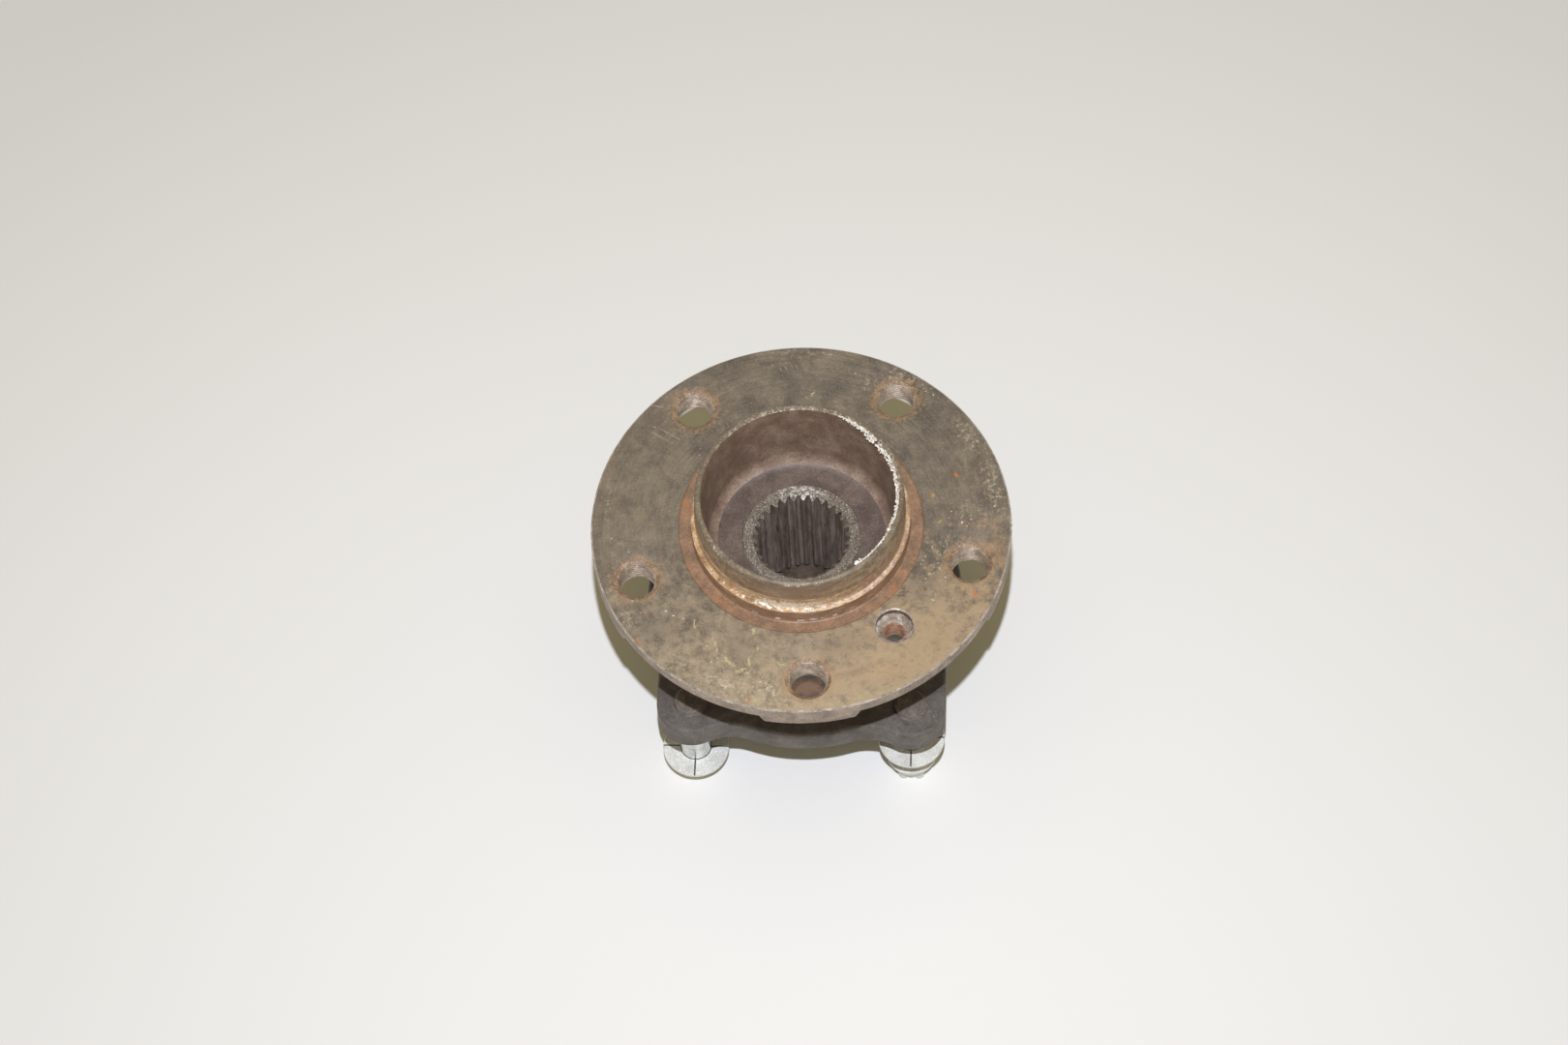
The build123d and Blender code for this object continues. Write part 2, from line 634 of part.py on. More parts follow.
def assembly():
    """Every node of the unit by name."""
    nodes = {
        "hub_flange": hub_flange(),
        "inner_ring": inner_ring(),
        "outer_ring": outer_ring(),
        "outboard_balls": balls(OUTBOARD_ROW_Z),
        "inboard_balls": balls(INBOARD_ROW_Z),
        "outboard_cage": cage(OUTBOARD_ROW_Z, -1),
        "inboard_cage": cage(INBOARD_ROW_Z, 1),
        "outboard_seal_case": outboard_seal_case(),
        "outboard_seal_lip": outboard_seal_lip(),
        "inboard_seal_case": inboard_seal_case(),
        "inboard_seal_lip": inboard_seal_lip(),
        "slinger": slinger(),
        "encoder_ring": encoder_ring(),
    }
    for name, (x, y) in bolt_places().items():
        nodes["bolt_" + name] = Pos(x, y, 0) * mounting_bolt()
        nodes["washer_" + name] = Pos(x, y, washer_lift(name)) * washer()
    return nodes


os.makedirs("parts", exist_ok=True)
for node, shape in assembly().items():
    export_step(shape, "parts/" + node + ".step")
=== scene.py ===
# %% [markdown]
# # Wheel hub bearing: the imported CAD model
# The CAD model comes in first and stays as it is: it fixes every size and every moving body.
# It could be scaled or nudged to suit a picture, but then the parts would no longer fit a car,
# so the pieces made here only dress it.

# %% Load the frame
import json
import random
from math import cos, hypot, pi, radians, sin

import bmesh
import bpy
from mathutils import Matrix, Vector


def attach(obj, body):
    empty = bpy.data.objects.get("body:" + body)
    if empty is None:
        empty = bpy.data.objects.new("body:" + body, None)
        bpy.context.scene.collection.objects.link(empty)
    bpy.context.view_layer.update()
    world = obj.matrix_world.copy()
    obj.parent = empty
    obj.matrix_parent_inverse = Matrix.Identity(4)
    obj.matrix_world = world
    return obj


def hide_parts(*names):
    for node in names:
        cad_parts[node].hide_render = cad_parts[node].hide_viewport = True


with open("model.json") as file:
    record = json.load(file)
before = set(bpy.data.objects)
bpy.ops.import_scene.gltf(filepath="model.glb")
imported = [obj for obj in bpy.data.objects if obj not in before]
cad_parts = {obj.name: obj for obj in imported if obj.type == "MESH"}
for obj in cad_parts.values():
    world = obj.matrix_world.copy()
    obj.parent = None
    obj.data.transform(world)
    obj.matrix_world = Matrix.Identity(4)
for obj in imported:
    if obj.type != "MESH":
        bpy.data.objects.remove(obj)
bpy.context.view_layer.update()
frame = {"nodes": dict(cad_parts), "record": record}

print("nodes:", len(frame["nodes"]))

# %% [markdown]
# # Sizes
# The same sizes as in the CAD source, in millimetres. They are repeated rather than measured from
# the mesh, because a named size says what it is. Heights run up the axis from the floor.

# %% Sizes in millimetres
MM = 0.001
FACE_Z = 94.5
COLLAR_TOP_Z = 115.5
DISC_PILOT_R, WHEEL_PILOT_R = 37.75, 36.25
PILOT_STEP_Z, PILOT_END_Z = 100.5, 106.5
RELIEF_R = 42.4
CUP_MOUTH_R, CUP_FLOOR_Z, LAND_R = 33.7, 86.0, 20.7
SPLINE_MAJOR_R, SPLINE_BOTTOM_Z = 16.7, 39.05
FLANGE_R, FLANGE_BACK_Z = 72.5, 88.8
WHEEL_CIRCLE_R, WHEEL_HOLE_R, WHEEL_CHAMFER_R, WHEEL_BOSS_Z = 60.0, 6.25, 7.9, 85.5
FIRST_HOLE_ANGLE = -85.7
SCREW_CIRCLE_R, SCREW_HOLE_R, SCREW_SINK_R, SCREW_BOSS_Z = 51.2, 3.4, 6.5, 82.2
BOLT_X, BOLT_Y = 38.5, 43.5
BOLT_SEAT_Z, BOLT_TIP_Z, RUN_OUT_Z = 8.5, 46.5, 25.0
THREAD_R, THREAD_PITCH, THREAD_DEPTH = 6.0, 1.75, 0.95
WHEEL_THREAD_R, WHEEL_THREAD_PITCH = 6.95, 1.25
SCREW_THREAD_R, SCREW_THREAD_PITCH, SCREW_MOUTH_WIDER = 4.0, 1.25, 1.06
THREAD_LEAD, TIP_CHAMFER, WHEEL_CHAMFER_DEPTH = 0.3, 1.3, 0.75
SCREW_RIM_DEPTH, SCREW_BAND_DEPTH, SCREW_CONE_DEPTH = 0.35, 2.4, 4.8
SLACK = 0.05


def turned(radius, angle):
    """Point of the XY plane at a radius and an angle in degrees."""
    return Vector((radius * cos(radians(angle)), radius * sin(radians(angle)), 0))


wheel_holes = [turned(WHEEL_CIRCLE_R, FIRST_HOLE_ANGLE + 72 * i) for i in range(5)]
screw_hole = turned(SCREW_CIRCLE_R, FIRST_HOLE_ANGLE + 36)
bolts = {
    "front_left": Vector((-BOLT_X, -BOLT_Y, 0)),
    "front_right": Vector((BOLT_X, -BOLT_Y, 0)),
    "rear_left": Vector((-BOLT_X, BOLT_Y, 0)),
    "rear_right": Vector((BOLT_X, BOLT_Y, 0)),
}
print("wheel holes:", [tuple(round(c, 1) for c in hole.xy) for hole in wheel_holes])

# %% [markdown]
# # Camera
# A lens of 93 mm on a 36 mm wide sensor, 1.4 m away and 60 degrees above the floor. The axes are
# built one after the other, look, right and up, then turned by a small roll, because a camera held
# by hand is never quite level. A tracking constraint would be shorter but couldn't hold the roll.

# %% Camera
CAMERA_DISTANCE = 1400.0
CAMERA_ELEVATION = 1.04811
CAMERA_ROLL = -0.06792
CAMERA_AIM = Vector((-5.741, 1.300, 0))
CAMERA_TURN = radians(5.5)
FOCAL_PIXELS = 4197.67
IMAGE_WIDTH = 1620

towards = Vector((0, -cos(CAMERA_ELEVATION), sin(CAMERA_ELEVATION)))
across = Vector((1, 0, 0))
upwards = across.cross(-towards)
turn = Matrix.Rotation(CAMERA_TURN, 3, "Z")
cam_x = turn @ (cos(CAMERA_ROLL) * across + sin(CAMERA_ROLL) * upwards)
cam_y = turn @ (cos(CAMERA_ROLL) * upwards - sin(CAMERA_ROLL) * across)
cam_z = turn @ towards
eye = turn @ (CAMERA_AIM + CAMERA_DISTANCE * towards) + Vector((0, 0, FACE_Z))

lens = bpy.data.cameras.new("camera")
lens.sensor_width = 36
lens.sensor_fit = "HORIZONTAL"
lens.lens = lens.sensor_width * FOCAL_PIXELS / IMAGE_WIDTH
camera = bpy.data.objects.new("camera", lens)
pose = Matrix((cam_x, cam_y, cam_z)).transposed().to_4x4()
pose.translation = eye * MM
camera.matrix_world = pose
bpy.context.scene.collection.objects.link(camera)
bpy.context.scene.camera = camera
bpy.context.scene.view_settings.view_transform = "Standard"
print("camera at", [round(c, 3) for c in pose.translation], "lens", round(lens.lens, 2))

# %% [markdown]
# # Nodes and colours
# Colours are written as the sRGB hex values that a paint chart would give, and one function turns
# them into the linear light that shaders reckon in. One more function adds a node with its settings
# and its inputs: an input that is a node or a socket is linked, and any other is set.

# %% Colour and node helpers
def linear(code):
    """Linear RGBA of an sRGB hex colour such as '8A7B6C'."""
    parts = [int(code[i:i + 2], 16) / 255 for i in (0, 2, 4)]
    return [c / 12.92 if c <= 0.04045 else ((c + 0.055) / 1.055) ** 2.4 for c in parts] + [1]


def first_open(sockets, name=None):
    """The first socket in use, of a name if one is given."""
    return next(s for s in sockets if s.enabled and name in (None, s.name))


def add(tree, kind, settings=None, **inputs):
    """Adds a shader node; an input's name is written with underscores for spaces."""
    node = tree.nodes.new("ShaderNode" + kind)
    for name, value in (settings or {}).items():
        setattr(node, name, value)
    for name, value in inputs.items():
        index = name[1:] if name[0] == "i" and name[1:].isdigit() else None
        socket = node.inputs[int(index)] if index else first_open(node.inputs, name.replace("_", " "))
        if isinstance(value, bpy.types.Node):
            value = first_open(value.outputs)
        if isinstance(value, bpy.types.NodeSocket):
            tree.links.new(value, socket)
        else:
            socket.default_value = value
    return node


print("mid grey in linear light:", round(linear("808080")[0], 3))

# %% [markdown]
# # Floor and light
# A plain pale floor, one small lamp high on the camera's side, as a flash held over the lens gives,
# and a dim, slightly olive fill from the walls of the room. A row of soft boxes would flatter the
# part, but the hard edge of the shadow belongs to the look of a part photographed for a shelf. The
# lamp's power is worked out so that a surface facing it renders about as its colour is written.

# %% Floor, lamp and fill
LAMP_DISTANCE = 1.56
LAMP_ELEVATION = radians(68.1)
LAMP_SIZE = 0.024
KEY = 0.80
LAMP_COLOUR = (0.945, 0.985, 1.10)
ROOM_FILL = (0.31, 0.265, 0.15, 1)
BACKGROUND = (0.85, 0.85, 0.85, 1)
FLOOR_HALF_WIDTH = 6
FLOOR_FALL_FROM, FLOOR_FALL_TO, FLOOR_FAR_SHADE = 0.12, 0.4, 0.87


def stage_material(name, colour, lighter):
    """Matt paper: one tone with a faint, broad unevenness, and a little painted shade far from the part."""
    material = bpy.data.materials.new(name)
    material.use_nodes = True
    tree = material.node_tree
    place = add(tree, "TexCoord").outputs["Object"]
    cloud = add(tree, "TexNoise", Vector=place, Scale=2.5, Detail=3.0)
    uneven = add(tree, "Mix", {"data_type": "RGBA"}, Factor=cloud.outputs["Fac"],
                 A=linear(colour), B=linear(lighter))
    # Painted shade: the paper darkens away from the part, as the lamp's light falls off.
    away = add(tree, "VectorMath", {"operation": "LENGTH"}, i0=place)
    painted_falloff = add(tree, "MapRange", Value=away.outputs["Value"], From_Min=FLOOR_FALL_FROM,
               From_Max=FLOOR_FALL_TO, To_Min=1.0, To_Max=FLOOR_FAR_SHADE)
    tone = add(tree, "HueSaturation", Color=first_open(uneven.outputs), Value=painted_falloff)
    shader = tree.nodes["Principled BSDF"]
    tree.links.new(first_open(tone.outputs), shader.inputs["Base Color"])
    shader.inputs["Roughness"].default_value = 0.9
    shader.inputs["Specular IOR Level"].default_value = 0.1
    return material


sheet = bmesh.new()
bmesh.ops.create_grid(sheet, x_segments=1, y_segments=1, size=FLOOR_HALF_WIDTH)
floor_mesh = bpy.data.meshes.new("floor")
sheet.to_mesh(floor_mesh)
sheet.free()
floor_mesh.materials.append(stage_material("matt_paper", "E7E6E3", "ECEBE9"))
floor = bpy.data.objects.new("floor", floor_mesh)
bpy.context.scene.collection.objects.link(floor)

lamp_data = bpy.data.lights.new("lamp", "AREA")
lamp_data.shape = "DISK"
lamp_data.size = LAMP_SIZE
lamp_data.energy = KEY * (pi * LAMP_DISTANCE) ** 2 / sin(LAMP_ELEVATION)
lamp_data.color = LAMP_COLOUR
lamp = bpy.data.objects.new("lamp", lamp_data)
lamp_way = turn @ Vector((0, -cos(LAMP_ELEVATION), sin(LAMP_ELEVATION)))
lamp.location = lamp_way * LAMP_DISTANCE
lamp.rotation_euler = lamp_way.to_track_quat("Z", "Y").to_euler()
bpy.context.scene.collection.objects.link(lamp)

world = bpy.data.worlds.new("room")
world.use_nodes = True
bpy.context.scene.world = world
room = world.node_tree
rays = add(room, "LightPath")
seen = add(room, "Math", {"operation": "MAXIMUM"},
           i0=rays.outputs["Is Camera Ray"], i1=rays.outputs["Is Glossy Ray"])
walls = add(room, "Mix", {"data_type": "RGBA"}, Factor=seen, A=ROOM_FILL, B=BACKGROUND)
room.links.new(first_open(walls.outputs), room.nodes["Background"].inputs["Color"])
print("lamp power:", round(lamp_data.energy, 1), "W")

# %% [markdown]
# # Weathered steel
# Every metal surface of this unit has been on a car: bare forged or turned steel under a film of
# oil, dust and rust. The recipe is the same each time: broad blotches in three tones, a fine grain
# over them, and small pale specks, with the grain also moving the roughness and a bump. Layers of
# noise were chosen over an image, because noise keeps its scale from any side and any distance.

# %% Turning marks
def turning_marks(tree, inch, strength):
    """Tone that varies across fine grooves running round the axis, about 1 for a faint mark."""
    flat = add(tree, "VectorMath", {"operation": "MULTIPLY"}, i0=inch, i1=(1, 1, 0))
    way = add(tree, "VectorMath", {"operation": "NORMALIZE"}, i0=flat)
    far = add(tree, "VectorMath", {"operation": "LENGTH"}, i0=flat)
    groove = add(tree, "VectorMath", {"operation": "SCALE"}, i0=(0, 0, 1.1), Scale=far.outputs["Value"])
    round_way = add(tree, "VectorMath", {"operation": "SCALE"}, i0=way, Scale=7.0)
    path = add(tree, "VectorMath", {"operation": "ADD"}, i0=round_way, i1=groove)
    marks = add(tree, "TexNoise", Vector=path, Scale=1.0, Detail=4.0, Roughness=0.6)
    return add(tree, "MapRange", Value=marks.outputs["Fac"], From_Min=0.35, From_Max=0.65,
               To_Min=1 - strength, To_Max=1 + strength)


# %% Weathered finish
DARK_BELOW, LIGHT_ABOVE = 0.38, 0.62
DOT_START, DOT_SPREAD, DOT_EDGE = 0.66, 0.9, 0.06


def weathered(name, dark, middle, light, blotch=9.0, grain=0.9, pits=0.0, pit_colour="3A322B",
              specks=0.0, speck_colour="D8CDB8", rough=(0.5, 0.75), relief=0.25, metallic=0.0,
              stretch=(1, 1, 1), turning=0.0):
    """Material of dirty steel. Blotch and grain are sizes in millimetres, relief is the bump's height.

    Pits and specks are shares of the surface, and turning is the strength of marks round the axis.
    """
    material = bpy.data.materials.new(name)
    material.use_nodes = True
    tree = material.node_tree
    place = add(tree, "TexCoord").outputs["Object"]
    inch = add(tree, "Mapping", Vector=place, Scale=[1000 * s for s in stretch])
    cloud = add(tree, "TexNoise", Vector=inch, Scale=1 / blotch, Detail=9.0, Roughness=0.66, Distortion=0.3)
    ramp = add(tree, "ValToRGB", Fac=cloud.outputs["Fac"])
    ramp.color_ramp.elements[0].position = DARK_BELOW
    ramp.color_ramp.elements[0].color = linear(dark)
    ramp.color_ramp.elements[1].position = LIGHT_ABOVE
    ramp.color_ramp.elements[1].color = linear(light)
    ramp.color_ramp.elements.new(0.5).color = linear(middle)
    fine = add(tree, "TexNoise", Vector=inch, Scale=1 / grain, Detail=5.0, Roughness=0.75)
    shade = add(tree, "MapRange", Value=fine.outputs["Fac"], From_Min=0.3, From_Max=0.7,
                To_Min=0.66, To_Max=1.3)
    if turning:
        shade = add(tree, "Math", {"operation": "MULTIPLY"}, i0=shade, i1=turning_marks(tree, inch, turning))
    toned = add(tree, "HueSaturation", Color=ramp.outputs["Color"], Value=shade)
    colour = first_open(toned.outputs)
    for share, tint, size, seed in ((pits, pit_colour, 1.5, 3.0), (specks, speck_colour, 0.8, 11.0)):
        if share:
            shifted = add(tree, "VectorMath", {"operation": "ADD"}, i0=inch, i1=(seed, 0, 0))
            dots = add(tree, "TexNoise", Vector=shifted, Scale=1 / (size * grain), Detail=3.0, Roughness=0.8)
            start = DOT_START - DOT_SPREAD * share
            mask = add(tree, "MapRange", Value=dots.outputs["Fac"], From_Min=start,
                       From_Max=start + DOT_EDGE)
            colour = first_open(add(tree, "Mix", {"data_type": "RGBA"}, Factor=mask, A=colour,
                                    B=linear(tint)).outputs)
    shader = tree.nodes["Principled BSDF"]
    gloss = add(tree, "MapRange", Value=fine.outputs["Fac"], From_Min=0.3, From_Max=0.7,
                To_Min=rough[0], To_Max=rough[1])
    bump = add(tree, "Bump", Height=fine.outputs["Fac"], Distance=relief * MM, Strength=0.8)
    tree.links.new(colour, shader.inputs["Base Color"])
    tree.links.new(first_open(gloss.outputs), shader.inputs["Roughness"])
    tree.links.new(first_open(bump.outputs), shader.inputs["Normal"])
    shader.inputs["Metallic"].default_value = metallic
    return material


# %% [markdown]
# # Patches, crusts and scratches
# Dirt isn't even: there are blooms of pale salt, rust that breaks through, dark smears of grease
# and a few scratches. A painted image could hold them, but it would blur close up. Each is a mask
# instead, an ellipse in millimetres whose edge is eaten away by noise, so one short line places it.
# On the flat face the mask lies in X and Y, and on the round walls it lies in the angle and height.
# Some of these masks carry painted light instead: highlights on the lip, the land and the pilots, and a lit
# spot on the ring.

# %% Masks
def lay(material, mask, colour):
    """Lays a further colour over a material where the mask is white."""
    tree = material.node_tree
    base = tree.nodes["Principled BSDF"].inputs["Base Color"]
    under = base.links[0].from_socket
    mixed = add(tree, "Mix", {"data_type": "RGBA"}, Factor=mask, A=under, B=linear(colour))
    tree.links.new(first_open(mixed.outputs), base)


def torn(material, grain):
    """Noise that eats away the edges of patches, with its grain in millimetres."""
    tree = material.node_tree
    place = add(tree, "TexCoord").outputs["Object"]
    return add(tree, "TexNoise", Vector=place, Scale=1000 / grain, Detail=9.0, Roughness=0.78).outputs["Fac"]


def flat_place(material, wander=0.0):
    """Place on the face in millimetres, wandering by some of them for marks that aren't straight."""
    tree = material.node_tree
    place = add(tree, "TexCoord").outputs["Object"]
    flat = add(tree, "VectorMath", {"operation": "MULTIPLY"}, i0=place, i1=(1000, 1000, 0))
    if wander:
        beside = add(tree, "VectorMath", {"operation": "ADD"}, i0=place, i1=(0.5, 0, 0))
        east = add(tree, "TexNoise", Vector=place, Scale=1000 / 2.6, Detail=3.0, Roughness=0.6)
        north = add(tree, "TexNoise", Vector=beside, Scale=1000 / 2.6, Detail=3.0, Roughness=0.6)
        drift = add(tree, "CombineXYZ", X=east.outputs["Fac"], Y=north.outputs["Fac"])
        moved = add(tree, "VectorMath", {"operation": "MULTIPLY_ADD"},
                    i0=drift, i1=(4 * wander, 4 * wander, 0), i2=flat)
        flat = add(tree, "VectorMath", {"operation": "SUBTRACT"}, i0=moved, i1=(2 * wander, 2 * wander, 0))
    return first_open(flat.outputs)


def unrolled_place(material):
    """Place on a round wall: the angle in degrees and the height in millimetres."""
    tree = material.node_tree
    place = add(tree, "SeparateXYZ", Vector=add(tree, "TexCoord").outputs["Object"])
    angle = add(tree, "Math", {"operation": "ARCTAN2"}, i0=place.outputs["Y"], i1=place.outputs["X"])
    turned_by = add(tree, "Math", {"operation": "DEGREES"}, i0=angle)
    height = add(tree, "Math", {"operation": "MULTIPLY"}, i0=place.outputs["Z"], i1=1000)
    return add(tree, "CombineXYZ", X=turned_by, Y=height).outputs["Vector"]


BARE_LEVEL, COVER_STEP = 0.585, 0.14


def patch(material, place, noise, centre, size, turn_by=0.0, cover=0.5, strength=0.7, fade=0.1, soft=0.05):
    """Mask of a patch that thins out towards its edge.

    Noise lies closely round one half, so a cover of 0 leaves the middle all but bare, one of 0.5
    covers not quite half of it, and one of 1 nearly all. Soft is the width of the change.
    """
    tree = material.node_tree
    local = add(tree, "Mapping", {"vector_type": "TEXTURE"}, Vector=place, Location=(*centre, 0),
                Rotation=(0, 0, radians(turn_by)), Scale=(*size, 1))
    away = add(tree, "VectorMath", {"operation": "LENGTH"}, i0=local)
    eaten = add(tree, "Math", {"operation": "MULTIPLY_ADD"}, i0=away.outputs["Value"], i1=-fade, i2=noise)
    start = BARE_LEVEL - COVER_STEP * cover - soft / 2
    return add(tree, "MapRange", Value=eaten, From_Min=start, From_Max=start + soft, To_Max=strength)


print("masks ready")

# %% [markdown]
# # Finishes of the hub
# The hub is forged, then turned where it meets the disc and the wheel. The face carries an oily
# olive-grey film with rust breaking through, and the relief round the collar's foot has rusted tan.
# The disc's pilot is an oily brown with painted glints at its foot, the wheel's pilot above it is
# rubbed to a pale gold with painted highlight lines at its ledge, and the cup, which nothing
# touches, has kept a dark brown skin. The lip and the nut's land carry painted highlights too.
# One material with masks could hold all of it, but a material for each turned surface is easier to
# read and to change.

# %% Face of the flange
flange_face = weathered("turned_steel_oil_film", "594F42", "695E4F", "796D5B", blotch=9, grain=0.7,
                        pits=0.035, specks=0.05, speck_colour="A89A84", rough=(0.4, 0.62), relief=0.1,
                        turning=0.18)
face_mm = flat_place(flange_face)
face_tear = torn(flange_face, 5.0)
face_dust = torn(flange_face, 1.6)
BROAD_SOFT, DUST_SOFT = 0.26, 0.12
for name, colour, noise, spots in [
    ("worn sides", "83735E", face_tear, [
        ((-58, 2), (14, 40), 0, 1.1, 0.35), ((-40, -44), (24, 18), -40, 0.9, 0.35),
        ((58, 14), (9, 40), 0, 0.3, 0.5)]),
    ("worn front", "B29E81", face_tear, [
        ((16, -62), (42, 19), 0, 1.6, 0.62), ((-28, -60), (20, 9), -25, 0.9, 0.4)]),
    ("tan front", "B99C78", face_tear, [
        ((42, -50), (28, 13), 42, 1.6, 0.6)]),
    ("greenish film", "8B8468", face_tear, [
        ((46, -46), (16, 7), 42, 0.5, 0.6), ((-55, 12), (9, 18), 0, 0.3, 0.5),
        ((30, -62), (16, 5), 22, 0.4, 0.6)]),
    ("grease", "5F574F", face_tear, [
        ((-48, -44), (8, 6), 0, 0.5, 0.6), ((14, -47), (16, 5), 10, 0.4, 0.5),
        ((42, -20), (7, 9), 20, 0.5, 0.6), ((-20, -50), (6, 7), 0, 0.35, 0.5),
        ((-2, 57), (26, 6), 0, 0.4, 0.55), ((46, 24), (11, 14), 20, 0.3, 0.55),
        ((20, -57), (5, 1.2), 20, 0.6, 0.7)]),
    ("brown film", "7A5F49", face_dust, [
        ((62, -4), (9, 12), 0, 0.4, 0.55), ((63, 20), (3, 11), 8, 0.4, 0.6),
        ((34, 50), (14, 9), -30, 0.25, 0.4), ((-67, 12), (4, 26), 8, 0.4, 0.5)]),
    ("rust grain", "A06E45", face_dust, [
        ((33, -55), (17, 8), 28, 0.3, 0.75), ((46, -47), (13, 7), 38, 0.25, 0.7),
        ((68, -9), (3.5, 12), 8, 0.45, 0.8), ((60, 1), (10, 6), 0, 0.2, 0.7),
        ((-66, 26), (3, 12), -22, 0.25, 0.6)]),
    ("pale dust", "B5A78C", face_dust, [
        ((-38, -54), (13, 7), -35, 0.32, 0.7), ((-12, -66), (17, 5), 10, 0.5, 0.75),
        ((-64, -27), (3, 9), 8, 0.4, 0.7), ((-58, -38), (3, 7), 14, 0.45, 0.7),
        ((66, 16), (3.4, 13), 14, 0.55, 0.75), ((58, 36), (4.5, 9), 32, 0.55, 0.75),
        ((35, 60), (13, 3), -28, 0.5, 0.7), ((22, -66), (15, 4), 15, 0.4, 0.7),
        ((-67, 9), (2.5, 14), 2, 0.35, 0.6), ((0, 70), (20, 2.2), 0, 0.4, 0.55),
        ((46, -24), (9, 7), 0, 0.2, 0.6), ((22, 58), (8, 5), 30, 0.25, 0.7),
        ((0, -69.5), (28, 2.2), 0, 0.6, 0.8), ((57, 8), (10, 8), 0, 0.18, 0.6)]),
    ("salt bloom", "C8BCA8", face_dust, [
        ((-24, -62), (8, 4), -25, 0.55, 0.7), ((-8, -64), (7, 3), -42, 0.5, 0.7),
        ((-2, -61), (1.2, 7), 12, 0.5, 0.75), ((25, 54), (3, 6), 25, 0.3, 0.8)]),
]:
    soft = BROAD_SOFT if noise == face_tear else DUST_SOFT
    for centre, size, turn_by, cover, strength in spots:
        mask = patch(flange_face, face_mm, noise, centre, size, turn_by, cover, strength, soft=soft)
        lay(flange_face, mask, colour)
    print(name + ":", len(spots))
print("face:", len(flange_face.node_tree.nodes), "nodes")

# %% Scratches and dots of the face
drifting_mm = flat_place(flange_face, wander=1.1)
for name, colour, place, spots in [
    ("cream scratches", "B9AE86", drifting_mm, [
        ((-35, -39.5), (0.45, 3.4), 14), ((-27, -47.5), (0.5, 4.2), 22), ((-23.5, -53), (0.8, 4.4), 48),
        ((-18, -57), (4.2, 0.9), 0), ((-15.3, -53.5), (0.5, 3.6), 0), ((-13.2, -48.5), (0.4, 3.0), 0),
        ((-8.5, -62.5), (0.5, 6.5), 55), ((-2.8, -60.5), (0.5, 5.5), 5), ((-5, -54.5), (3.2, 0.5), -32),
        ((47.3, -10.5), (1.2, 2.2), 0), ((50.3, -7.5), (0.4, 4.4), -12), ((48, -16.2), (1.2, 1.0), 0),
        ((44.7, -18.6), (0.9, 0.9), 0), ((43, -12.4), (0.7, 0.8), 0), ((46.2, -29), (1.1, 1.0), 0),
        ((-14.2, -42), (1.2, 1.8), 0), ((2.2, 52.6), (0.5, 1.6), -20), ((0.6, 51.8), (0.9, 0.4), 0)]),
    ("bare scratches", "9A8D7A", face_mm, [
        ((-47, 35.6), (6.5, 0.35), -31), ((-51, 34.9), (6.0, 0.3), -31), ((-9.6, 63.4), (0.3, 2.4), 30),
        ((-7.6, 63.6), (0.3, 2.4), 30), ((-12, 64.4), (0.6, 1.4), 40), ((-5.4, 64.2), (0.3, 1.8), 30),
        ((-3.8, 64.4), (0.3, 1.7), 30), ((-52, 47), (4.5, 0.35), -10)]),
    ("rust dots", "B5713F", face_mm, [
        ((53.2, 20.8), (1.7, 1.6), 0), ((-15.2, -67.5), (0.7, 2.4), 6), ((60, -26), (1.6, 2.2), 0),
        ((-53.6, -46.4), (1.0, 1.1), 0), ((63.5, -25), (0.9, 1.0), 0)]),
    ("ochre dots", "AD8A4C", face_mm, [((45.2, 12.4), (1.3, 1.5), 0), ((47.8, 1.9), (0.6, 1.5), -25)]),
]:
    for centre, size, turn_by in spots:
        mask = patch(flange_face, place, face_dust, centre, size, turn_by, 1.35, 0.85, 0.2)
        lay(flange_face, mask, colour)
    print(name + ":", len(spots))
for hole in wheel_holes:
    rusty_ring = patch(flange_face, face_mm, face_dust, tuple(hole.xy), (3.5, 3.5), 0, 3.0, 0.6, 0.14)
    lay(flange_face, rusty_ring, "A27C57")
print("face with marks:", len(flange_face.node_tree.nodes), "nodes")

# %% Other turned and forged surfaces
flange_rim = weathered("scaled_steel_rim", "837267", "958577", "A99889", blotch=7, grain=0.9, pits=0.03,
                       specks=0.03, rough=(0.5, 0.7), relief=0.25, turning=0.08)
# The flange's outer chamfer is painted lighter: partly rubbed wear, partly a painted highlight along the
# edge.
worn_and_highlit_edge = weathered("rubbed_and_highlit_flange_edge", "857A6C", "A19687", "BDB2A4", blotch=3, grain=0.6, pits=0.05,
                      rough=(0.35, 0.5), relief=0.12)
relief_rust = weathered("light_tan_rust", "7B634C", "8C6C53", "99785D", blotch=5, grain=0.8, specks=0.03,
                        speck_colour="BE9878", rough=(0.3, 0.5), relief=0.15)
ring_mm, ring_tear = flat_place(relief_rust), torn(relief_rust, 4.0)
for centre, size in [((-28, -31), (9, 4)), ((12, -41), (10, 2)), ((34, -22), (5, 9)), ((-40, 8), (3, 9))]:
    lay(relief_rust, patch(relief_rust, ring_mm, ring_tear, centre, size, 0, 0.55, 0.7), "A9714B")
for centre, size in [((26, -29), (7, 5)), ((37, -12), (3, 8)), ((-24, -36), (6, 3))]:
    lay(relief_rust, patch(relief_rust, ring_mm, ring_tear, centre, size, 0, 0.4, 0.6), "7F7458")
pilot_gold = weathered("rubbed_rust_film_and_highlights", "9A7455", "C0996F", "E2C8A4", blotch=2.2, grain=0.45,
                       pits=0.06, pit_colour="5E4938", specks=0.06, speck_colour="F4ECDC",
                       rough=(0.2, 0.42), relief=0.15, stretch=(0.45, 0.45, 2.2))
gold_mm, gold_tear = unrolled_place(pilot_gold), torn(pilot_gold, 1.6)
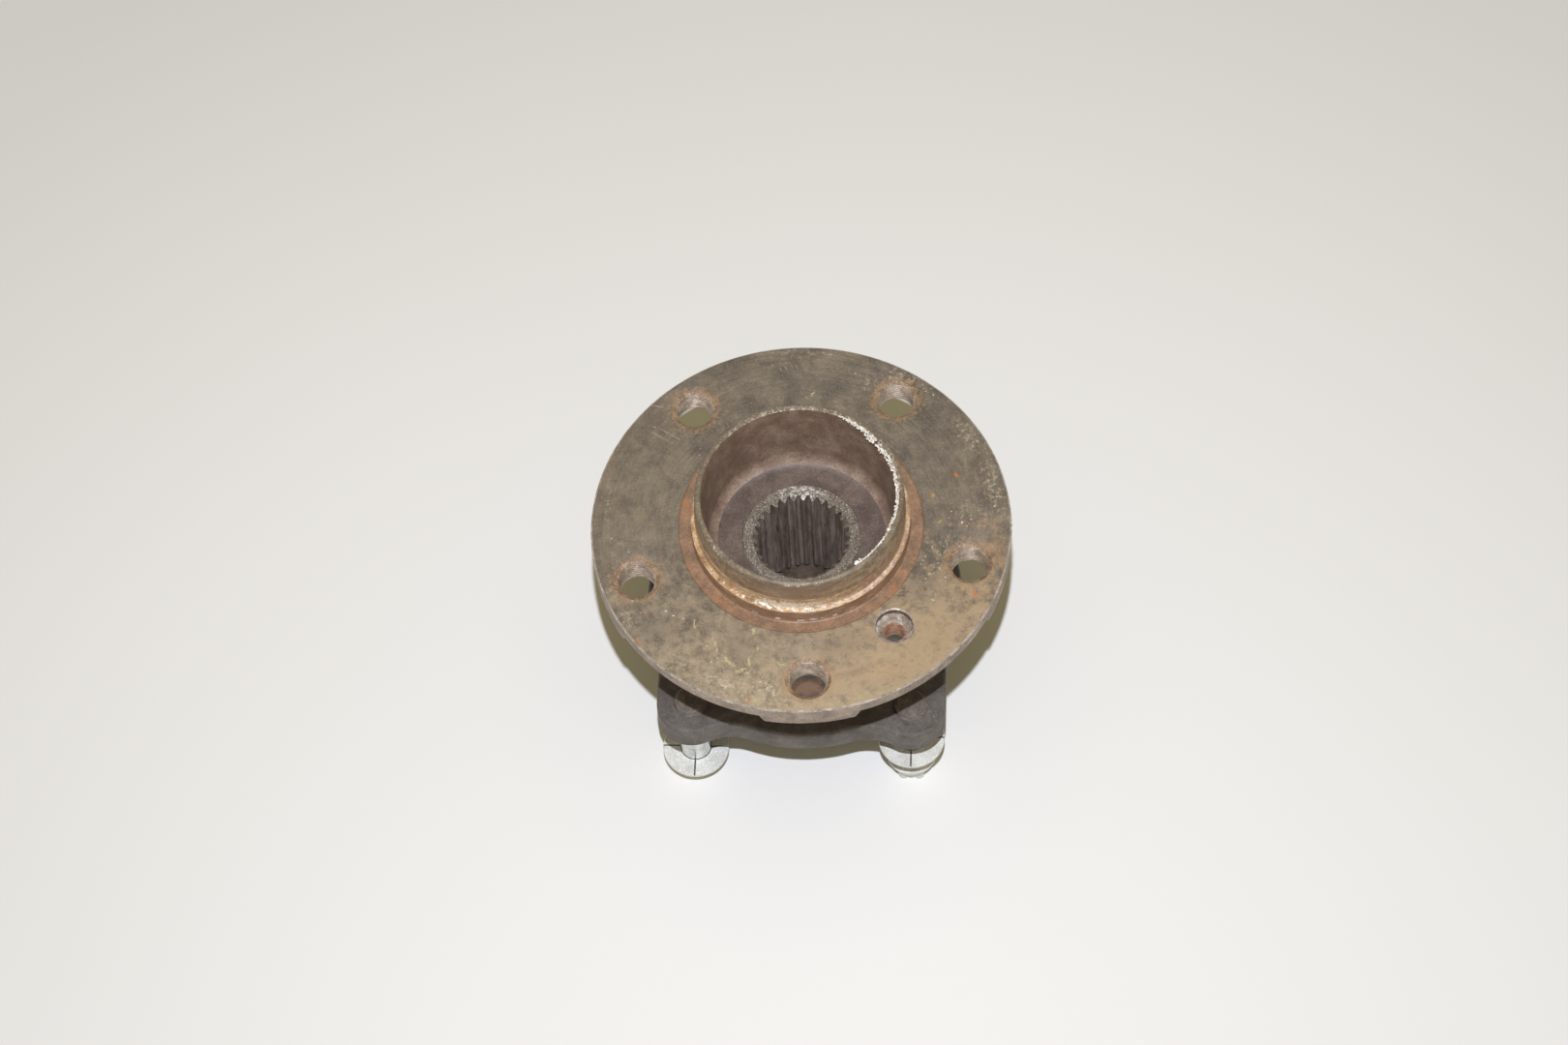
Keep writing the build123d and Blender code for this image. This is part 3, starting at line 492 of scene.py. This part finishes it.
# The thin near-white and pale lines at the ledge's height are painted highlights; the other bands are the
# rubbed film's own colour.
for centre, size, cover, colour in [
    ((-94, 102.9), (34, 2.2), 1.2, "EFE6D2"), ((-88, 101.1), (44, 0.6), 1.4, "FDFBF4"),
    ((-34, 100.8), (34, 0.4), 1.4, "FDFBF6"), ((-24, 103.8), (42, 3.2), 1.6, "957360"),
    ((-156, 105.1), (34, 0.8), 1.2, "E8D8B6"), ((-156, 103.4), (34, 0.45), 1.5, "6E563F"),
    ((-150, 101.2), (34, 0.45), 1.3, "D8BE93"), ((-122, 103.6), (20, 1.2), 0.8, "C9A47B")
]:
    lay(pilot_gold, patch(pilot_gold, gold_mm, gold_tear, centre, size, 0, cover, 0.85, 0.14), colour)
collar_steel = weathered("turned_steel_brown_film", "78624F", "89715B", "9A8369", blotch=6, grain=0.7,
                         pits=0.02, specks=0.02, rough=(0.34, 0.55), relief=0.12, stretch=(0.5, 0.5, 2.0))
pilot_brown = weathered("oily_brown_pilot_and_glints", "846850", "987860", "AD9078", blotch=3, grain=0.5, pits=0.04,
                        specks=0.03, speck_colour="D8C9B4", rough=(0.24, 0.42), relief=0.12,
                        stretch=(0.5, 0.5, 1.8))
foot_glint_place, foot_glint_tear = unrolled_place(pilot_brown), torn(pilot_brown, 1.4)
# Painted highlights: small near-white glints along the foot of the disc's pilot.
for centre, size in [
    ((-100, 95.1), (3.5, 0.6)), ((-88, 95.0), (3.0, 0.6)), ((-80, 95.2), (4.5, 0.7)),
    ((-70, 95.0), (2.0, 0.5)), ((-112, 95.0), (2.0, 0.5)), ((-60, 95.4), (3.0, 0.5))
]:
    lay(pilot_brown, patch(pilot_brown, foot_glint_place, foot_glint_tear, centre, size, 0, 1.3, 0.9, 0.2), "F4F0E8")
wall_mm, wall_tear = unrolled_place(collar_steel), torn(collar_steel, 2.2)
for centre, size, cover, colour in [
    ((-135, 110.0), (50, 4.0), 0.35, "96714F"), ((-60, 110.0), (50, 3.0), 0.35, "9A7B5E"),
    ((-28, 109.5), (30, 5.0), 1.1, "A8977E"), ((-152, 110.5), (34, 5.0), 1.1, "A8937A")
]:
    lay(collar_steel, patch(collar_steel, wall_mm, wall_tear, centre, size, 0, cover, 0.8), colour)
lip_steel = weathered("dull_lip_steel_and_highlights", "675745", "776853", "877862", blotch=4, grain=0.6, pits=0.04,
                      specks=0.05, speck_colour="CFC8BC", rough=(0.28, 0.5), relief=0.14)
lip_highlight_place, lip_highlight_tear = unrolled_place(lip_steel), torn(lip_steel, 1.0)
# Painted highlights: pale and near-white lines along the lip's rounded edge, at the back, the front and both
# sides.
for centre, size, cover, colour in [
    ((100, 115), (50, 1.5), 0.6, "D9CDBE"), ((-90, 115), (26, 1.2), 0.1, "F6F3EE"),
    ((30, 115), (40, 1.5), 0.5, "D2C4B2"), ((-140, 115), (20, 1.5), 0.3, "D9CDBE")
]:
    lay(lip_steel, patch(lip_steel, lip_highlight_place, lip_highlight_tear, centre, size, 0, cover, 0.8), colour)
cup_wall = weathered("dark_forging_skin", "786254", "897261", "9B8574", blotch=7, grain=0.8, pits=0.03,
                     specks=0.025, speck_colour="A5978C", rough=(0.36, 0.6), relief=0.3)
cup_floor = weathered("purple_forging_skin", "54453E", "615248", "716156", blotch=8, grain=0.7, pits=0.02,
                      specks=0.03, speck_colour="A39B9B", rough=(0.34, 0.55), relief=0.18, turning=0.06)
nut_land = weathered("pitted_turned_land_and_highlight", "5E5143", "706354", "837667", blotch=2.2, grain=0.6, pits=0.1,
                     pit_colour="4A433B", specks=0.1, speck_colour="D2CEC4", rough=(0.28, 0.5),
                     relief=0.25)
land_highlight_place, land_highlight_tear = unrolled_place(nut_land), torn(nut_land, 1.0)
# Painted highlight: a pale and a white band on the back of the land.
for centre, size, cover, colour in [
    ((92, 85.5), (34, 2.5), 0.75, "D8D1C6"), ((88, 85.5), (22, 2.5), 0.3, "FFFFFF")
]:
    lay(nut_land, patch(nut_land, land_highlight_place, land_highlight_tear, centre, size, 0, cover, 0.85), colour)
spline_steel = weathered("greased_broached_steel", "6B5C52", "85766C", "9D8D82", blotch=3, grain=0.6,
                         pits=0.05, pit_colour="2E2724", specks=0.02, speck_colour="B9B2AB",
                         rough=(0.3, 0.55), relief=0.1, stretch=(1, 1, 0.12))
bore_steel = weathered("greased_bore_steel", "6D5D55", "816F60", "938171", blotch=5, grain=0.7,
                       rough=(0.4, 0.6), relief=0.12)
hole_rust = weathered("rusty_hole_edge", "6E573F", "866A4F", "A2866A", blotch=3, grain=0.7, pits=0.04,
                      specks=0.08, speck_colour="D2BFA9", rough=(0.35, 0.55), relief=0.2)
thread_steel = weathered("rubbed_tapped_thread", "83705D", "9C8A77", "B2A391", blotch=3, grain=0.5,
                         specks=0.03, rough=(0.24, 0.4), relief=0.06, metallic=0.35)
sink_band = weathered("dull_counterbore", "5E4D40", "71604F", "877565", blotch=3, grain=0.6,
                      rough=(0.4, 0.6), relief=0.1)
screw_cone = weathered("bare_cone_steel", "8C7A6C", "B3A395", "DCD3CA", blotch=3.0, grain=0.6,
                       specks=0.05, speck_colour="FBFAF8", rough=(0.24, 0.38), relief=0.06, metallic=0.45)
screw_rust = weathered("rusty_screw_thread", "835D45", "9B7054", "B0876C", blotch=2.6, grain=0.5,
                       specks=0.03, rough=(0.3, 0.5), relief=0.06, metallic=0.2)
forged_back = weathered("forged_back_rust", "6B5853", "826A60", "9A8277", blotch=8, grain=1.1, pits=0.02,
                        specks=0.01, rough=(0.55, 0.8), relief=0.4)
ground_steel = weathered("ground_bearing_steel", "A6A6A6", "B6B6B6", "C4C4C4", blotch=10, grain=0.5,
                         rough=(0.16, 0.24), relief=0.01, metallic=0.9)
print("hub finishes made")

# %% [markdown]
# # Dressing a node in zones
# A turned part changes finish from one surface to the next, but a CAD node has one material slot.
# The node's mesh could be painted by a mask, or its faces could each be given a material. The
# second is done here, on a merged copy that stands for the node, because the borders then lie on
# the turned edges, where the real ones are. Sharp edges are marked by their angle, so turned
# surfaces shade round and corners stay crisp.

# %% Copy a node and give its faces finishes
def merged_copy(node):
    """A bmesh of a CAD node's shape with its loose triangles joined."""
    shape = bmesh.new()
    shape.from_mesh(frame["nodes"][node].data)
    bmesh.ops.remove_doubles(shape, verts=shape.verts, dist=0.002 * MM)
    return shape


def finish_piece(shape, name, materials, body, replaced=None, sharp=28):
    """Turns a bmesh into a piece that rides a body, with its smooth shading."""
    shape.normal_update()
    for face in shape.faces:
        face.smooth = True
    for edge in shape.edges:
        edge.smooth = len(edge.link_faces) == 2 and edge.calc_face_angle() < radians(sharp)
    mesh = bpy.data.meshes.new(name)
    shape.to_mesh(mesh)
    shape.free()
    for material in materials:
        mesh.materials.append(material)
    piece = bpy.data.objects.new(name, mesh)
    bpy.context.scene.collection.objects.link(piece)
    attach(piece, body)
    if replaced:
        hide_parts(replaced)
    mesh.calc_loop_triangles()
    print(name, "triangles:", len(mesh.loop_triangles))
    return piece


def extent(face):
    """Lowest and highest distance from the axis and height of a face, in millimetres."""
    radii = [hypot(v.co.x, v.co.y) / MM for v in face.verts]
    heights = [v.co.z / MM for v in face.verts]
    return min(radii), max(radii), min(heights), max(heights)


def reach(face, centre):
    """Greatest distance of a face's corners from an upright line, in millimetres."""
    return max(hypot(v.co.x / MM - centre.x, v.co.y / MM - centre.y) for v in face.verts)


# %% Zones of the hub
HUB_FINISHES = [flange_face, flange_rim, worn_and_highlit_edge, relief_rust, pilot_brown, pilot_gold, collar_steel,
                lip_steel, cup_wall, cup_floor, nut_land, spline_steel, bore_steel, hole_rust, thread_steel,
                sink_band, screw_cone, screw_rust, forged_back, ground_steel]
BEARING_TOP_Z = FLANGE_BACK_Z - 8.5
BROACHED_R = SPLINE_MAJOR_R + 0.6
SPLINE_MOUTH_Z = CUP_FLOOR_Z - 2.5


def hub_finish(face):
    """The finish of a face of the hub, from where it lies."""
    inner, outer, low, high = extent(face)
    if high < BEARING_TOP_Z and inner > LAND_R + 1:
        return ground_steel
    if outer < BROACHED_R:
        if low > SPLINE_MOUTH_Z and abs(face.normal.z) > 0.3:
            return nut_land
        if high < SPLINE_BOTTOM_Z + 1 and low < SPLINE_BOTTOM_Z - 2:
            return bore_steel
        return spline_steel
    if outer < LAND_R + SLACK and low > CUP_FLOOR_Z - 1:
        return nut_land
    if low > CUP_FLOOR_Z - SLACK and outer < CUP_MOUTH_R - 0.1:
        return cup_floor if high < CUP_FLOOR_Z + 0.6 else cup_wall
    if outer < CUP_MOUTH_R + SLACK and low > CUP_FLOOR_Z:
        return cup_wall
    if low > COLLAR_TOP_Z - 1.5:
        return lip_steel
    if low > PILOT_END_Z - SLACK and outer < DISC_PILOT_R:
        return collar_steel
    if low > PILOT_STEP_Z - 0.6 and inner < DISC_PILOT_R + SLACK:
        return pilot_gold
    if low > FACE_Z - SLACK and outer < DISC_PILOT_R + SLACK and inner > DISC_PILOT_R - 1:
        return pilot_brown
    if outer < RELIEF_R + SLACK and low > FACE_Z - 1:
        return relief_rust
    if low > FACE_Z - 0.9 and inner > FLANGE_R - 1 and low < FACE_Z - SLACK:
        return worn_and_highlit_edge
    if low > FACE_Z - 0.7:
        return flange_face
    if inner > FLANGE_R - 1 and face.normal.z > -0.5:
        return flange_rim
    return forged_back


hub_shape = merged_copy("hub_flange")
for face in hub_shape.faces:
    face.material_index = HUB_FINISHES.index(hub_finish(face))
print("faces of the hub in", len({face.material_index for face in hub_shape.faces}), "finishes")

# %% [markdown]
# # Threads
# A thread is a ridge that climbs as it goes round. It could be a texture, but it catches the lamp
# turn by turn, so it is modelled: the outline of one pitch is spun round the axis while it rises by
# that pitch, the turns are welded where they meet, and the ends are cut flat.

# %% Climbing thread
CREST_FROM, CREST_TO, ROOT_FROM = 0.42, 0.54, 0.96
RING_SLACK = 0.04


def thread(centre, start, end, crest_r, root_r, pitch, steps=40):
    """A bmesh of a screwed surface round an upright axis, open at both ends. Millimetres."""
    shape = bmesh.new()
    turns = int((end - start) / pitch) + 3
    outline = [(root_r, 0.0), (crest_r, CREST_FROM), (crest_r, CREST_TO), (root_r, ROOT_FROM), (root_r, 1.0)]
    verts = [shape.verts.new((r * MM, 0, (start + (share - 1.5) * pitch) * MM)) for r, share in outline]
    edges = [shape.edges.new(pair) for pair in zip(verts, verts[1:])]
    bmesh.ops.spin(shape, geom=verts + edges, cent=(0, 0, 0), axis=(0, 0, 1), angle=2 * pi * turns,
                   steps=steps * turns, dvec=(0, 0, pitch / steps * MM), use_merge=False)
    bmesh.ops.remove_doubles(shape, verts=shape.verts, dist=0.005 * MM)
    for height, way in ((start, -1), (end, 1)):
        bmesh.ops.bisect_plane(shape, geom=shape.verts[:] + shape.edges[:] + shape.faces[:],
                               plane_co=(0, 0, height * MM), plane_no=(0, 0, way), clear_outer=True)
    bmesh.ops.translate(shape, verts=shape.verts, vec=centre * MM)
    return shape


def open_ring(shape, centre, height, radius):
    """The open edges at a height, within a radius of an upright line."""
    def near(v):
        level = abs(v.co.z / MM - height) < RING_SLACK
        return level and hypot(v.co.x / MM - centre.x, v.co.y / MM - centre.y) < radius

    return [e for e in shape.edges if e.is_boundary and all(near(v) for v in e.verts)]


def add_shape(shape, other, finish):
    """Moves one bmesh into another, with one finish on its faces."""
    for face in other.faces:
        face.material_index = finish
    between = bpy.data.meshes.new("between")
    other.to_mesh(between)
    other.free()
    shape.from_mesh(between)
    bpy.data.meshes.remove(between)


# %% Tapped holes of the hub
def open_wall(shape, centre, radius, low):
    """Takes the wall of a hole out of the shape."""
    wall = [f for f in shape.faces if reach(f, centre) < radius + SLACK and extent(f)[2] > low - SLACK]
    bmesh.ops.delete(shape, geom=wall, context="FACES")
    return len(wall)


def bridge(shape, centre, lower, upper, radius, finish):
    """Joins the open rings at two heights round an upright line."""
    rings = open_ring(shape, centre, lower, radius) + open_ring(shape, centre, upper, radius)
    for face in bmesh.ops.bridge_loops(shape, edges=rings)["faces"]:
        face.material_index = HUB_FINISHES.index(finish)


for hole in wheel_holes:
    gone = open_wall(hub_shape, hole, WHEEL_CHAMFER_R, WHEEL_BOSS_Z)
    thread_bottom, thread_top = WHEEL_BOSS_Z + THREAD_LEAD, FACE_Z - WHEEL_CHAMFER_DEPTH
    tapped = thread(hole, thread_bottom, thread_top, WHEEL_HOLE_R, WHEEL_THREAD_R, WHEEL_THREAD_PITCH)
    add_shape(hub_shape, tapped, HUB_FINISHES.index(thread_steel))
    bridge(hub_shape, hole, WHEEL_BOSS_Z, thread_bottom, WHEEL_CHAMFER_R + 0.1, thread_steel)
    bridge(hub_shape, hole, thread_top, FACE_Z, WHEEL_CHAMFER_R + 0.1, hole_rust)
    print("wheel hole: took", gone, "faces")

gone = open_wall(hub_shape, screw_hole, SCREW_SINK_R, SCREW_BOSS_Z)
thread_bottom, thread_top = SCREW_BOSS_Z + THREAD_LEAD, FACE_Z - SCREW_CONE_DEPTH
mouth = open_ring(hub_shape, screw_hole, FACE_Z, SCREW_SINK_R + 0.1)
for vert in {v for edge in mouth for v in edge.verts}:
    vert.co.xy = screw_hole.xy * MM + (vert.co.xy - screw_hole.xy * MM) * SCREW_MOUTH_WIDER


def step_in(ring, radius, height, finish):
    """Goes on from an open ring of the screw hole to a circle further in or down, and gives its edges."""
    circle = bmesh.ops.create_circle(hub_shape, segments=64, radius=radius * MM)["verts"]
    bmesh.ops.translate(hub_shape, verts=circle, vec=(screw_hole + Vector((0, 0, height))) * MM)
    edges = list({e for v in circle for e in v.link_edges})
    for face in bmesh.ops.bridge_loops(hub_shape, edges=ring + edges)["faces"]:
        face.material_index = HUB_FINISHES.index(finish)
    return edges


rim_ring = step_in(mouth, SCREW_SINK_R - 0.1, FACE_Z - SCREW_RIM_DEPTH, screw_cone)
step_in(rim_ring, SCREW_SINK_R - 0.2, FACE_Z - SCREW_BAND_DEPTH, sink_band)
tapped = thread(screw_hole, thread_bottom, thread_top, SCREW_HOLE_R, SCREW_THREAD_R, SCREW_THREAD_PITCH)
add_shape(hub_shape, tapped, HUB_FINISHES.index(screw_rust))
bridge(hub_shape, screw_hole, thread_top, FACE_Z - SCREW_BAND_DEPTH, SCREW_SINK_R, screw_cone)
bridge(hub_shape, screw_hole, SCREW_BOSS_Z, thread_bottom, SCREW_SINK_R, screw_rust)
bmesh.ops.recalc_face_normals(hub_shape, faces=hub_shape.faces)
print("screw hole: took", gone, "faces; open edges left:", sum(e.is_boundary for e in hub_shape.edges))
finish_piece(hub_shape, "hub_turned", HUB_FINISHES, "hub", "hub_flange")

# %% [markdown]
# # Bolts
# The bolts are steel with a white zinc-flake coat, which is dull and pale. Each keeps its CAD head
# and waist, and gets a real thread above the run-out, where the ear's thread has left dirt.

# %% Bolts
zinc = weathered("white_zinc_flake", "CACAC4", "D7D7D1", "E1E1DB", blotch=5, grain=0.5, pits=0.01,
                 pit_colour="A9AAA4", rough=(0.4, 0.55), relief=0.03)
zinc_worn = weathered("burnished_zinc_waist", "C9CBC7", "DADCD7", "E7E8E4", blotch=4, grain=0.6,
                      rough=(0.24, 0.34), relief=0.03, metallic=1.0)
bolt_thread_dirt = weathered("dirty_bolt_thread", "564D45", "655B53", "766C63", blotch=3, grain=0.6,
                             specks=0.02, rough=(0.45, 0.7), relief=0.1)
for name, centre in bolts.items():
    head = merged_copy("bolt_" + name)
    bmesh.ops.bisect_plane(head, geom=head.verts[:] + head.edges[:] + head.faces[:],
                           plane_co=(0, 0, RUN_OUT_Z * MM), plane_no=(0, 0, 1), clear_outer=True)
    for face in head.faces:
        low = extent(face)[2]
        face.material_index = 1 if low > BOLT_SEAT_Z - 0.1 and reach(face, centre) < THREAD_R + 0.1 else 0
    screwed = thread(centre, RUN_OUT_Z + THREAD_LEAD, BOLT_TIP_Z, THREAD_R, THREAD_R - THREAD_DEPTH,
                     THREAD_PITCH, steps=36)
    for vert in screwed.verts:
        out = Vector((vert.co.x - centre.x * MM, vert.co.y - centre.y * MM))
        limit = (THREAD_R - max(0, vert.co.z / MM - BOLT_TIP_Z + TIP_CHAMFER)) * MM
        if out.length > limit:
            vert.co.x = centre.x * MM + out.x * limit / out.length
            vert.co.y = centre.y * MM + out.y * limit / out.length
    tip = [e for e in screwed.edges
           if e.is_boundary and all(v.co.z / MM > BOLT_TIP_Z - RING_SLACK for v in e.verts)]
    bmesh.ops.contextual_create(screwed, geom=tip)
    add_shape(head, screwed, 2)
    rings = [edge for height in (RUN_OUT_Z, RUN_OUT_Z + THREAD_LEAD)
             for edge in open_ring(head, centre, height, THREAD_R + 0.1)]
    for face in bmesh.ops.bridge_loops(head, edges=rings)["faces"]:
        face.material_index = 2
    bmesh.ops.recalc_face_normals(head, faces=head.faces)
    print("bolt", name, "open edges left:", sum(e.is_boundary for e in head.edges))
    finish_piece(head, "flange_bolt_" + name, [zinc, zinc_worn, bolt_thread_dirt], "bearing_outer",
                 "bolt_" + name)

# %% [markdown]
# # Captive washers
# Each washer has four scored lines across its face, where its rim was nicked to hold it on the
# bolt. A texture would fade at a low angle, so each line is a groove: the face is cut by a plane
# through the middle and one at each side, and the points on the middle line are lowered.

# %% Scored washers
SCORE_WIDTH, SCORE_DEPTH = 0.6, 0.25
# Painted shade: the groove's faces are a darker grey than the zinc.
score_shade = weathered("painted_shade_in_scored_line", "4A4843", "605E58", "77756E", blotch=2, grain=0.4,
                       rough=(0.6, 0.8), relief=0.05)
for name, centre in bolts.items():
    washer = merged_copy("washer_" + name)
    top = max(v.co.z for v in washer.verts)
    for quarter in (0, 90):
        across_line = turned(1, quarter)
        for aside in (-SCORE_WIDTH / 2, 0, SCORE_WIDTH / 2):
            bmesh.ops.bisect_plane(washer, geom=washer.verts[:] + washer.edges[:] + washer.faces[:],
                                   plane_co=(centre + across_line * aside) * MM, plane_no=across_line)
        for vert in washer.verts:
            off = abs((vert.co - centre * MM).dot(across_line)) / MM
            if off < 0.01 and vert.co.z > top - SLACK * MM:
                vert.co.z -= SCORE_DEPTH * MM
        # The groove's faces get the painted shade.
        for face in washer.faces:
            off = abs((face.calc_center_median() - centre * MM).dot(across_line)) / MM
            if off < SCORE_WIDTH / 2 and face.calc_center_median().z > top - SCORE_DEPTH * MM:
                face.material_index = 1
    finish_piece(washer, "captive_washer_" + name, [zinc, score_shade], f"washer_{name}_body",
                 "washer_" + name)

# %% [markdown]
# # Crusts and crumbs
# White corrosion flakes off the mouth of the cup, and the rim holds a few crumbs. A height map
# couldn't stand clear of the edge, so each flake is a small ball of twenty faces, squashed, turned
# and dented by seeded chance, and a few hundred of them overlap into a crust.

# %% Flakes
def flakes(name, spots, finish, seed):
    """A piece of many small flakes. A spot is a place, an angle, a length, a width and a height."""
    chance = random.Random(seed)
    shape = bmesh.new()
    for place, angle, along, thick, high in spots:
        turn_by = Matrix.Rotation(radians(angle + chance.uniform(-25, 25)), 4, "Z")
        size = Matrix.Diagonal((along * MM / 2, thick * MM / 2, high * MM / 2, 1))
        tilt = Matrix.Rotation(chance.uniform(-0.5, 0.5), 4, "X")
        ball = bmesh.ops.create_icosphere(shape, subdivisions=1, radius=1.0,
                                          matrix=Matrix.Translation(place * MM) @ turn_by @ tilt @ size)
        for vert in ball["verts"]:
            vert.co += (vert.co - place * MM) * chance.uniform(-0.35, 0.3)
    print(name, "flakes:", len(spots))
    return finish_piece(shape, name, [finish], "hub", sharp=40)


corrosion = weathered("flaky_white_corrosion", "C9BEAC", "E4DED2", "F6F3EC", blotch=1.6, grain=0.5,
                      pits=0.05, pit_colour="8A7A66", rough=(0.7, 0.9), relief=0.15)
crumb_dirt = weathered("dried_road_crumbs", "8F8675", "B5AB98", "D6CEBE", blotch=1.6, grain=0.5,
                       rough=(0.7, 0.9), relief=0.1)
chance = random.Random(5)
CRUST_WIDTHS = [(-53, 0.5), (-44, 0.7), (-30, 0.8), (-20, 1.2), (-8, 1.3), (0, 1.2), (9, 1.5), (22, 1.5),
                (33, 2.2), (45, 2.6), (52, 1.5), (60, 1.4), (68, 0.4)]
CRUST_FROM, CRUST_TO, CRUST_STEP = -53.0, 68, 0.62


def crust_width(angle):
    """Width of the cup's crust at an angle, in millimetres."""
    for (a, wide), (b, next_wide) in zip(CRUST_WIDTHS, CRUST_WIDTHS[1:]):
        if a <= angle <= b:
            return wide + (next_wide - wide) * (angle - a) / (b - a)
    return 0


crust = []
angle = CRUST_FROM
while angle < CRUST_TO:
    wide = crust_width(angle)
    gap = -26 < angle < -12 and chance.random() < 0.3 or 38.5 < angle < 40.5
    if not gap:
        for layer in range(2 if wide > 1 else 1):
            radius = CUP_MOUTH_R + 0.25 - chance.uniform(0, wide * 0.75)
            height = COLLAR_TOP_Z - 0.1 - max(0, CUP_MOUTH_R - radius) * chance.uniform(0.3, 1.1)
            place = turned(radius, angle) + Vector((0, 0, height))
            crust.append((place, angle + 90, chance.uniform(0.6, 1.2),
                          chance.uniform(0.35, 0.6) + wide * 0.18, chance.uniform(0.35, 0.7)))
    angle += CRUST_STEP
crust.append((turned(33.2, -52.5) + Vector((0, 0, COLLAR_TOP_Z)), 30, 2.0, 1.3, 0.9))
crust.append((turned(33.0, -49.5) + Vector((0, 0, COLLAR_TOP_Z)), 60, 1.1, 1.0, 0.7))
flakes("cup_mouth_corrosion", crust, corrosion, 7)

# Heaps of crumbs: place, spread and count. White dots: place, length and width.
EDGE_CRUMBS = 60
HEAPS = [((48.5, -12), 3.2, 26), ((46, -20), 3.6, 16), ((27, 54), 6.5, 34), ((-25, -55), 5.0, 24),
         ((-60, -30), 5.0, 16), ((60, 4), 5.0, 20), ((-9, -64), 4.5, 14), ((42, 52), 3.0, 14)]
WHITE_DOTS = [(-44.8, -34.8, 1.3, 1.2), (-42.2, -36.5, 1.1, 0.9), (-38.7, -37.5, 0.6, 1.0),
              (-58.8, -11.8, 1.0, 0.8), (-65, -6.5, 0.9, 1.6), (55.4, 1.8, 1.1, 0.9),
              (-30.4, -48, 0.7, 1.0), (8.2, 69.3, 1.4, 0.9), (17, 61.7, 1.2, 0.9),
              (-36.3, 27.2, 0.5, 0.6), (-52.5, 38.4, 1.3, 0.5), (66.5, 8.6, 1.4, 0.9)]

crumbs = []
for i in range(EDGE_CRUMBS):
    angle = chance.gauss(3, 3.2)
    crumbs.append((turned(FLANGE_R - 0.1, angle) + Vector((0, 0, FACE_Z - chance.uniform(0, 4.5))), angle,
                   chance.uniform(0.3, 0.8), chance.uniform(0.3, 0.7), chance.uniform(0.3, 0.7)))
for centre, spread, count in HEAPS:
    for i in range(count):
        spot = Vector((centre[0] + chance.gauss(0, spread), centre[1] + chance.gauss(0, spread), 0))
        clear = all((spot - hole).length > WHEEL_CHAMFER_R + 0.5 for hole in wheel_holes)
        if clear and RELIEF_R + 1 < spot.length < FLANGE_R - 2:
            crumbs.append((spot + Vector((0, 0, FACE_Z + 0.05)), chance.uniform(0, 180),
                           chance.uniform(0.3, 0.75), chance.uniform(0.3, 0.6), chance.uniform(0.15, 0.4)))
for x, y, along, thick in WHITE_DOTS:
    crumbs.append((Vector((x, y, FACE_Z)), 0, along, thick, 0.35))
flakes("face_crumbs", crumbs, crumb_dirt, 11)

# %% [markdown]
# # The other pieces
# The bearing's ring and what is inside it keep their CAD shapes and only get a finish. Their slots
# could each be filled by hand, but the record already says which material slot a node has.

# %% Finishes of the rest
ring_forging = weathered("forged_ring_brown", "524A45", "5F5853", "6D6660", blotch=9, grain=1.0,
                         pits=0.03, specks=0.03, speck_colour="8F8874", rough=(0.5, 0.75), relief=0.35)
barrel, barrel_tear = unrolled_place(ring_forging), torn(ring_forging, 4.0)
# Painted light: a lighter rust-brown patch on the barrel under the front wheel hole, where lamp light falls
# through the hole.
hole_light_on_barrel = patch(ring_forging, barrel, barrel_tear, (-87, 61), (13, 9), 0, 1.6, 0.8, 0.2, 0.12)
lay(ring_forging, hole_light_on_barrel, "93705A")
polyamide = weathered("moulded_polyamide", "B49F70", "BDA97B", "C6B286", blotch=12, grain=0.6,
                      rough=(0.4, 0.5), relief=0.02)
rubber = weathered("moulded_rubber", "232323", "2A2A29", "333331", blotch=8, grain=0.5, rough=(0.6, 0.75),
                   relief=0.05)
pressed_steel = weathered("pressed_sheet_steel", "8F8F8D", "9C9C9A", "A9A9A6", blotch=9, grain=0.5,
                          rough=(0.3, 0.4), relief=0.02, metallic=0.8)
ball_steel = weathered("polished_ball_steel", "B8B8B8", "C2C2C2", "CACACA", blotch=6, grain=0.5,
                       rough=(0.08, 0.12), relief=0.0, metallic=1.0)
FINISH_OF_SLOT = {"hub_steel": forged_back, "ring_steel": ring_forging, "bearing_steel": ball_steel,
                  "cage_polyamide": polyamide, "seal_rubber": rubber, "seal_steel": pressed_steel,
                  "bolt_zinc": zinc, "washer_zinc": zinc}
for subpart in frame["record"]["subparts"]:
    node = frame["nodes"][subpart["node"]]
    for i in range(len(node.material_slots)):
        node.material_slots[i].material = FINISH_OF_SLOT[subpart["material_slot"]]
